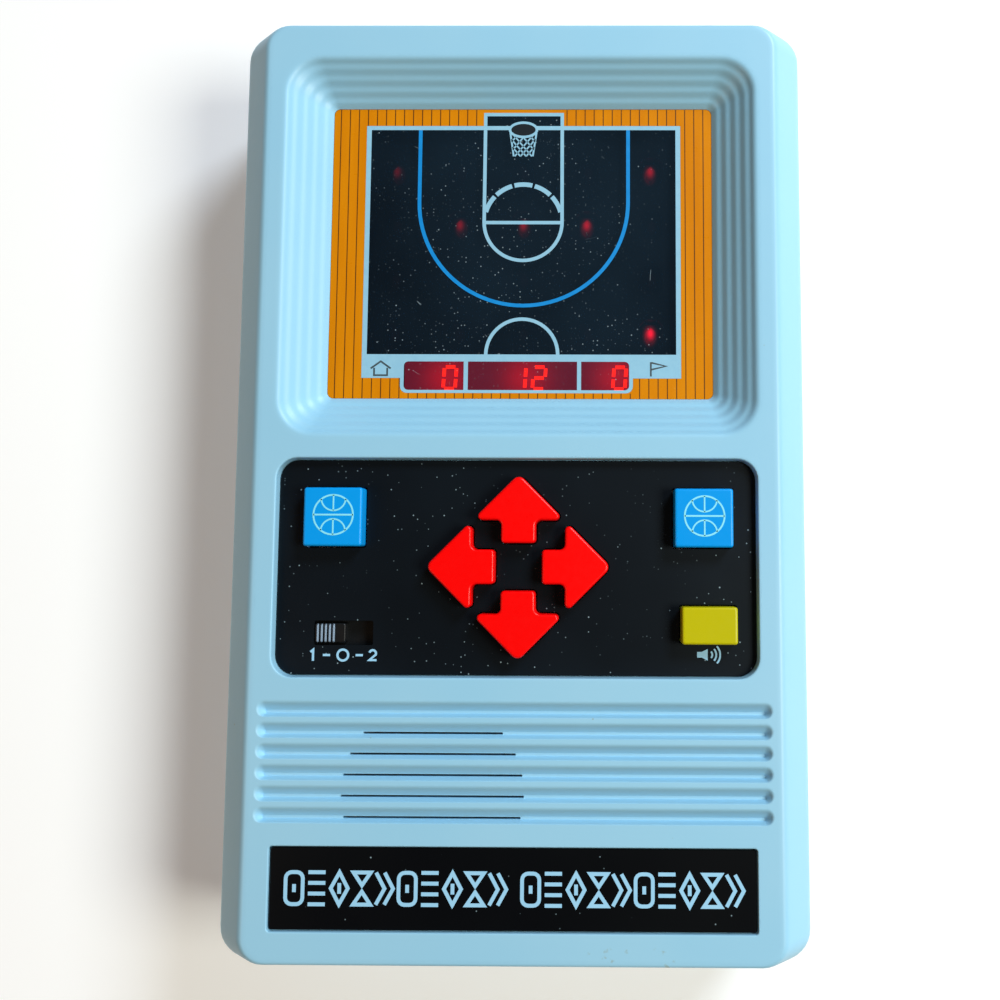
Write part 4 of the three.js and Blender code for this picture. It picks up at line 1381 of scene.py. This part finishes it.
cellLook = {
    "sides": (1, -1, 1), "sleeve": rgb(22, 74, 52), "sleeveDrift": rgb(18, 64, 46),
    "band": rgb(196, 160, 84), "bandFrom": 11.0, "line": rgb(214, 214, 206), "lineFrom": 9.9, "lineTo": 10.6,
    "bare": (0.65, 0.64, 0.62, 1), "bareFrom": 21.35, "bareTo": -21.7,
    "nub": 1.9, "nubHeight": 0.8, "steps": 40, "sharp": 40,
}


# Sleeve colours along a cell: a gold band at its positive end and a thin pale line beside it
def cellPaint(side):
    look = cellLook
    paint = Paint("cellSleeve" + ("Right" if side > 0 else "Left"), roughness=0.28)
    along = paint.axes()[0] * side
    wear = paint.noise(300, 3)
    base = paint.mix(wear, look["sleeve"], look["sleeveDrift"])
    base = paint.mix(along.above(look["bandFrom"]), base, look["band"])
    base = paint.mix(along.above(look["lineFrom"]) * along.below(look["lineTo"]), base, look["line"])
    bare = along.above(look["bareFrom"]).math("MAXIMUM", along.below(look["bareTo"]))
    paint.set(Base_Color=paint.mix(bare, base, look["bare"]))
    gleam = bare.math("MAXIMUM", along.above(look["bandFrom"]) * 0.6)
    paint.set(Metallic=gleam, Roughness=0.26 + wear * 0.12)
    return paint.material


# Turns a profile of (radius, x) about a line along X
def turnedAlongX(shape, profile, y, z, steps):
    loops = []
    for radius, x in profile:
        first = len(shape.points)
        shape.points += [(x, *spot) for spot in circle((y, z), radius, steps)]
        loops.append(list(range(first, first + steps)))
    for a, b in zip(loops, loops[1:]):
        shape.bridge(a, b)
    shape.cap(loops[0], up=False)
    shape.cap(loops[-1])


sleevePaints = {side: cellPaint(side) for side in (1, -1)}
cellRows = []
for k, side in enumerate(cellLook["sides"], 1):
    node = f"battery_{k}"
    y, cellMiddle = middleOf(node)[1:]
    cellRows.append(y)
    end, radius, _ = halfOf(node)
    body, nub = end - cellLook["nubHeight"], cellLook["nub"]
    profile = [
        (3.4, -end + 0.06), (3.6, -end), (4.5, -end), (radius - 0.25, -end + 0.1), (radius, -end + 0.45),
        (radius, body - 0.45), (radius - 0.2, body - 0.12), (radius - 0.6, body), (nub + 1.3, body - 0.1),
        (nub + 0.35, body - 0.1), (nub, body + 0.1), (nub, end - 0.2), (nub - 0.2, end),
    ]
    shape = Shape()
    turnedAlongX(shape, [(r, side * x) for r, x in profile], y, cellMiddle, cellLook["steps"])
    cell = shape.make(f"cell{k}", sleevePaints[side], cellLook["sharp"])
    place(cell, "case", "battery_sleeve", node)

contactLook = {
    "plate": (26.2, 26.6), "half": 3.8, "low": 4.0, "high": 12.4, "corner": 0.15, "tabHalf": 1.5,
    "foot": ((2.6, 26.3), (2.2, 25.8)), "dimple": 1.4, "positiveTip": 24.4,
    "wire": 0.28, "turns": 4.5, "wide": 2.9, "narrow": 1.7, "springGap": 0.3, "springSharp": 60,
}
contacts = {  # side, rows of cells it meets, which of them by a spring, row of its solder tab
    "contact_positive": (1, (0,), (), 0), "contact_negative": (-1, (2,), (2,), 2),
    "contact_bridge_left": (-1, (0, 1), (0,), None), "contact_bridge_right": (1, (1, 2), (1,), None),
}


def plateOutline(side, low, high, half):
    near, far = sorted(side * v for v in contactLook["plate"])
    centre = ((near + far) / 2, (low + high) / 2)
    return roundRect(centre, (far - near) / 2, (high - low) / 2 + half, contactLook["corner"], 3)


def contactSet(node, side, rows, sprung, tab):
    look = contactLook
    low, high = nodeBox(node)
    inner = abs(low.x if side > 0 else high.x)
    spots = [cellRows[row] for row in rows]
    shape = Shape()
    outline = plateOutline(side, min(spots), max(spots), look["half"])
    shape.solid([(outline, look["low"]), (outline, look["high"])])
    if tab is not None:
        outline = plateOutline(side, cellRows[tab], cellRows[tab], look["tabHalf"])
        shape.solid([(outline, look["high"] - 0.2), (outline, high.z)])
    for row in set(rows) - set(sprung):
        tip = look["positiveTip"] if node == "contact_positive" else inner + 0.1
        profile = [*look["foot"], (look["dimple"], tip + 0.1), (look["dimple"] - 0.3, tip)]
        turnedAlongX(shape, [(r, side * x) for r, x in profile], cellRows[row], cellMiddle, 24)
    name = capitals(node.removeprefix("contact_"))
    place(shape.make("plate" + name, paints["nickel"]), "case", "contact_steel", node)
    base = look["plate"][0]
    for row in sprung:
        start = (side * base * mm, cellRows[row] * mm, cellMiddle * mm)
        values = {"Turns": look["turns"], "Wide": look["wide"] * mm, "Narrow": look["narrow"] * mm,
                  "Length": (base - inner - look["springGap"]) * mm, "Wire": look["wire"] * mm,
                  "Lie": (0, -side * math.pi / 2, 0), "Start": start}
        spring = growMesh("spring" + name, coilTree, values, paints["nickel"], look["springSharp"])
        place(spring, "case", "contact_steel")


for node, roles in contacts.items():
    contactSet(node, *roles)
print("rear casing, cells and contacts made")


# Rubber keypad

keypad = {
    "sheet": 1.0, "corner": 1.5, "slotGap": 0.6, "arrowReach": 7.2, "arrowFoot": 3.4, "blockFoot": 3.6,
    "neck": 2.3, "tip": 1.9, "soft": 0.2, "sunk": 0.05, "keep": 0.78, "steps": 28,
}
keypadLow, keypadHigh = nodeBox("rubber_keypad")


# A dome under one button: a foot, a sloping web and a blunt tip
def keypadDome(name, centre, foot):
    low = keypadLow.z + keypad["sheet"] - keypad["sunk"]
    rise = keypadHigh.z - low
    neck, tip, soft = keypad["neck"], keypad["tip"], keypad["soft"]
    profile = [(foot, 0), (foot, 0.08), (foot - soft, 0.12), (neck, 0.55), (tip, 0.62), (tip, 0.95),
               (tip - soft, 1)]
    shape = Shape()
    shape.solid([(circle(centre, radius, keypad["steps"]), low + rise * share) for radius, share in profile])
    dome = place(shape.make(name, paints["rubber"]), "case", "keypad_rubber")
    anchor = (centre[0] * mm, centre[1] * mm, low * mm)
    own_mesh(dome)


def rubberKeypad():
    halfX, halfY, _ = halfOf("rubber_keypad")
    outer = roundRect(middleOf("rubber_keypad"), halfX, halfY, keypad["corner"], 6)
    halfX, halfY, _ = halfOf("power_switch_body")
    gap = keypad["slotGap"]
    slot = roundRect(middleOf("power_switch_body"), halfX + gap, halfY + gap, 0.4, 4)
    shape = Shape()
    printSheet(shape, outer, [slot], keypadLow.z, keypadLow.z + keypad["sheet"])
    place(shape.make("keypadSheet", paints["rubber"]), "case", "keypad_rubber", "rubber_keypad")
    middle, reach = arrowPad["centre"], keypad["arrowReach"]
    for side, (x, y) in {"up": (0, 1), "left": (-1, 0), "down": (0, -1), "right": (1, 0)}.items():
        centre = (middle[0] + x * reach, middle[1] + y * reach)
        keypadDome("keypadDome" + side.title(), centre, keypad["arrowFoot"])
    for name, press in {"shoot_button_left": "shoot_left", "shoot_button_right": "shoot_right",
                        "sound_button": "sound"}.items():
        centre = middleOf(name)[:2]
        keypadDome("keypadDome" + capitals(press), centre, keypad["blockFoot"])


rubberKeypad()
print("rubber keypad made")


# Parts kept as they come, with finishes of their own

finishes = {
    "light_mask": "black", "main_circuit_board": "board", "chip_cover": "black",
    "power_switch_body": "steel", "speaker_frame": "steel", "speaker_cone": "cone",
    "battery_wire_black": "blackWire", "battery_wire_red": "redWire", "speaker_wire_red": "redWire",
    "speaker_wire_black": "blackWire", "display_window": "pane",
}
pane = Paint("smokedPane", roughness=0.08, Alpha=0.6, Specular_IOR_Level=0.35)
paneCloud = pane.noise(26, 3)
paneGrains = dustOf(pane, 2.2, True)
paneBase = pane.mix(paneCloud.above(0.52, 0.25), rgb(7, 17, 27), rgb(22, 40, 54))
pane.set(Base_Color=pane.mix(paneGrains * 0.9, paneBase, rgb(160, 180, 190)))
pane.set(Roughness=0.1 + paneCloud * 0.1 + paneGrains * 0.4)
paints["pane"] = pane.material
for node, paint in finishes.items():
    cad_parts[node].material_slots[0].material = paints[paint]
print("inner parts finished")


# Camera, lights and floor

view = {
    "place": (12.364, -11.622, 197.835), "turn": (-0.096, -0.009, -0.003), "lens": 39.6, "sensor": 36,
    "shift": (-0.0875, -0.0527), "near": 0.01,
}
scene = bpy.context.scene
camera = bpy.data.objects.new("camera", bpy.data.cameras.new("camera"))
scene.collection.objects.link(camera)
camera.data.sensor_width = view["sensor"]
camera.data.lens = view["lens"]
camera.data.shift_x, camera.data.shift_y = view["shift"]
camera.data.clip_start = view["near"]
turnX, turnY, turnZ = (Matrix.Rotation(angle, 3, axis) for angle, axis in zip(view["turn"], "XYZ"))
turned = (turnZ @ turnY @ turnX).transposed()
camera.matrix_world = Matrix.Translation(Vector(view["place"]) * mm) @ turned.to_4x4()
scene.camera = camera

lights = {
    "key": {"place": (570, -60, 680), "size": 380, "power": 5.4, "colour": (1.0, 1.0, 0.88)},
    "top": {"place": (450, 560, 580), "size": 320, "power": 6.9, "colour": (0.76, 0.88, 1.0)},
    "fill": {"place": (-420, -160, 420), "size": 300, "power": 0.5, "colour": (1.0, 0.6, 0.34)},
}
for name, light in lights.items():
    lamp = bpy.data.objects.new(name, bpy.data.lights.new(name, "AREA"))
    scene.collection.objects.link(lamp)
    lamp.data.shape = "DISK"
    lamp.data.size = light["size"] * mm
    lamp.data.energy = light["power"]
    lamp.data.color = light["colour"]
    lamp.location = Vector(light["place"]) * mm
    lamp.rotation_mode = "QUATERNION"
    lamp.rotation_quaternion = lamp.location.to_track_quat("Z", "Y")

# The room lights the game softly, and the camera sees its wall behind the floor's edge in another tone
studio = {"light": (1.0, 0.84, 0.7, 1), "strength": 0.09, "wall": (0.86, 0.87, 0.88, 1)}
world = bpy.data.worlds.new("studio")
scene.world = world
world.use_nodes = True
skyNodes = world.node_tree.nodes
soft = skyNodes["Background"]
soft.inputs["Color"].default_value = studio["light"]
soft.inputs["Strength"].default_value = studio["strength"]
seen = skyNodes.new("ShaderNodeBackground")
seen.inputs["Color"].default_value = studio["wall"]
rayKind = skyNodes.new("ShaderNodeLightPath")
blend = skyNodes.new("ShaderNodeMixShader")
world.node_tree.links.new(rayKind.outputs["Is Camera Ray"], blend.inputs[0])
world.node_tree.links.new(soft.outputs[0], blend.inputs[1])
world.node_tree.links.new(seen.outputs[0], blend.inputs[2])
world.node_tree.links.new(blend.outputs[0], skyNodes["World Output"].inputs[0])
scene.view_settings.view_transform = "Standard"

floorSheet = {"half": 800, "corner": 40, "height": -0.15, "glow": 0.18}
floor = Shape()
floorEdge = roundRect((0, 0), floorSheet["half"], floorSheet["half"], floorSheet["corner"], 4)
floor.cap(floor.loop(floorEdge, floorSheet["height"]))
floorPaint = Paint("floorPaper", roughness=0.9)
floorTone = floorPaint.noise(9, 2)
floorPaint.set(Emission_Color=(1, 1, 1, 1), Emission_Strength=floorSheet["glow"])
floorPaint.set(Base_Color=floorPaint.mix(floorTone, rgb(234, 235, 236), rgb(238, 239, 240)))
floor.make("floor", floorPaint.material)

print("scene ready")
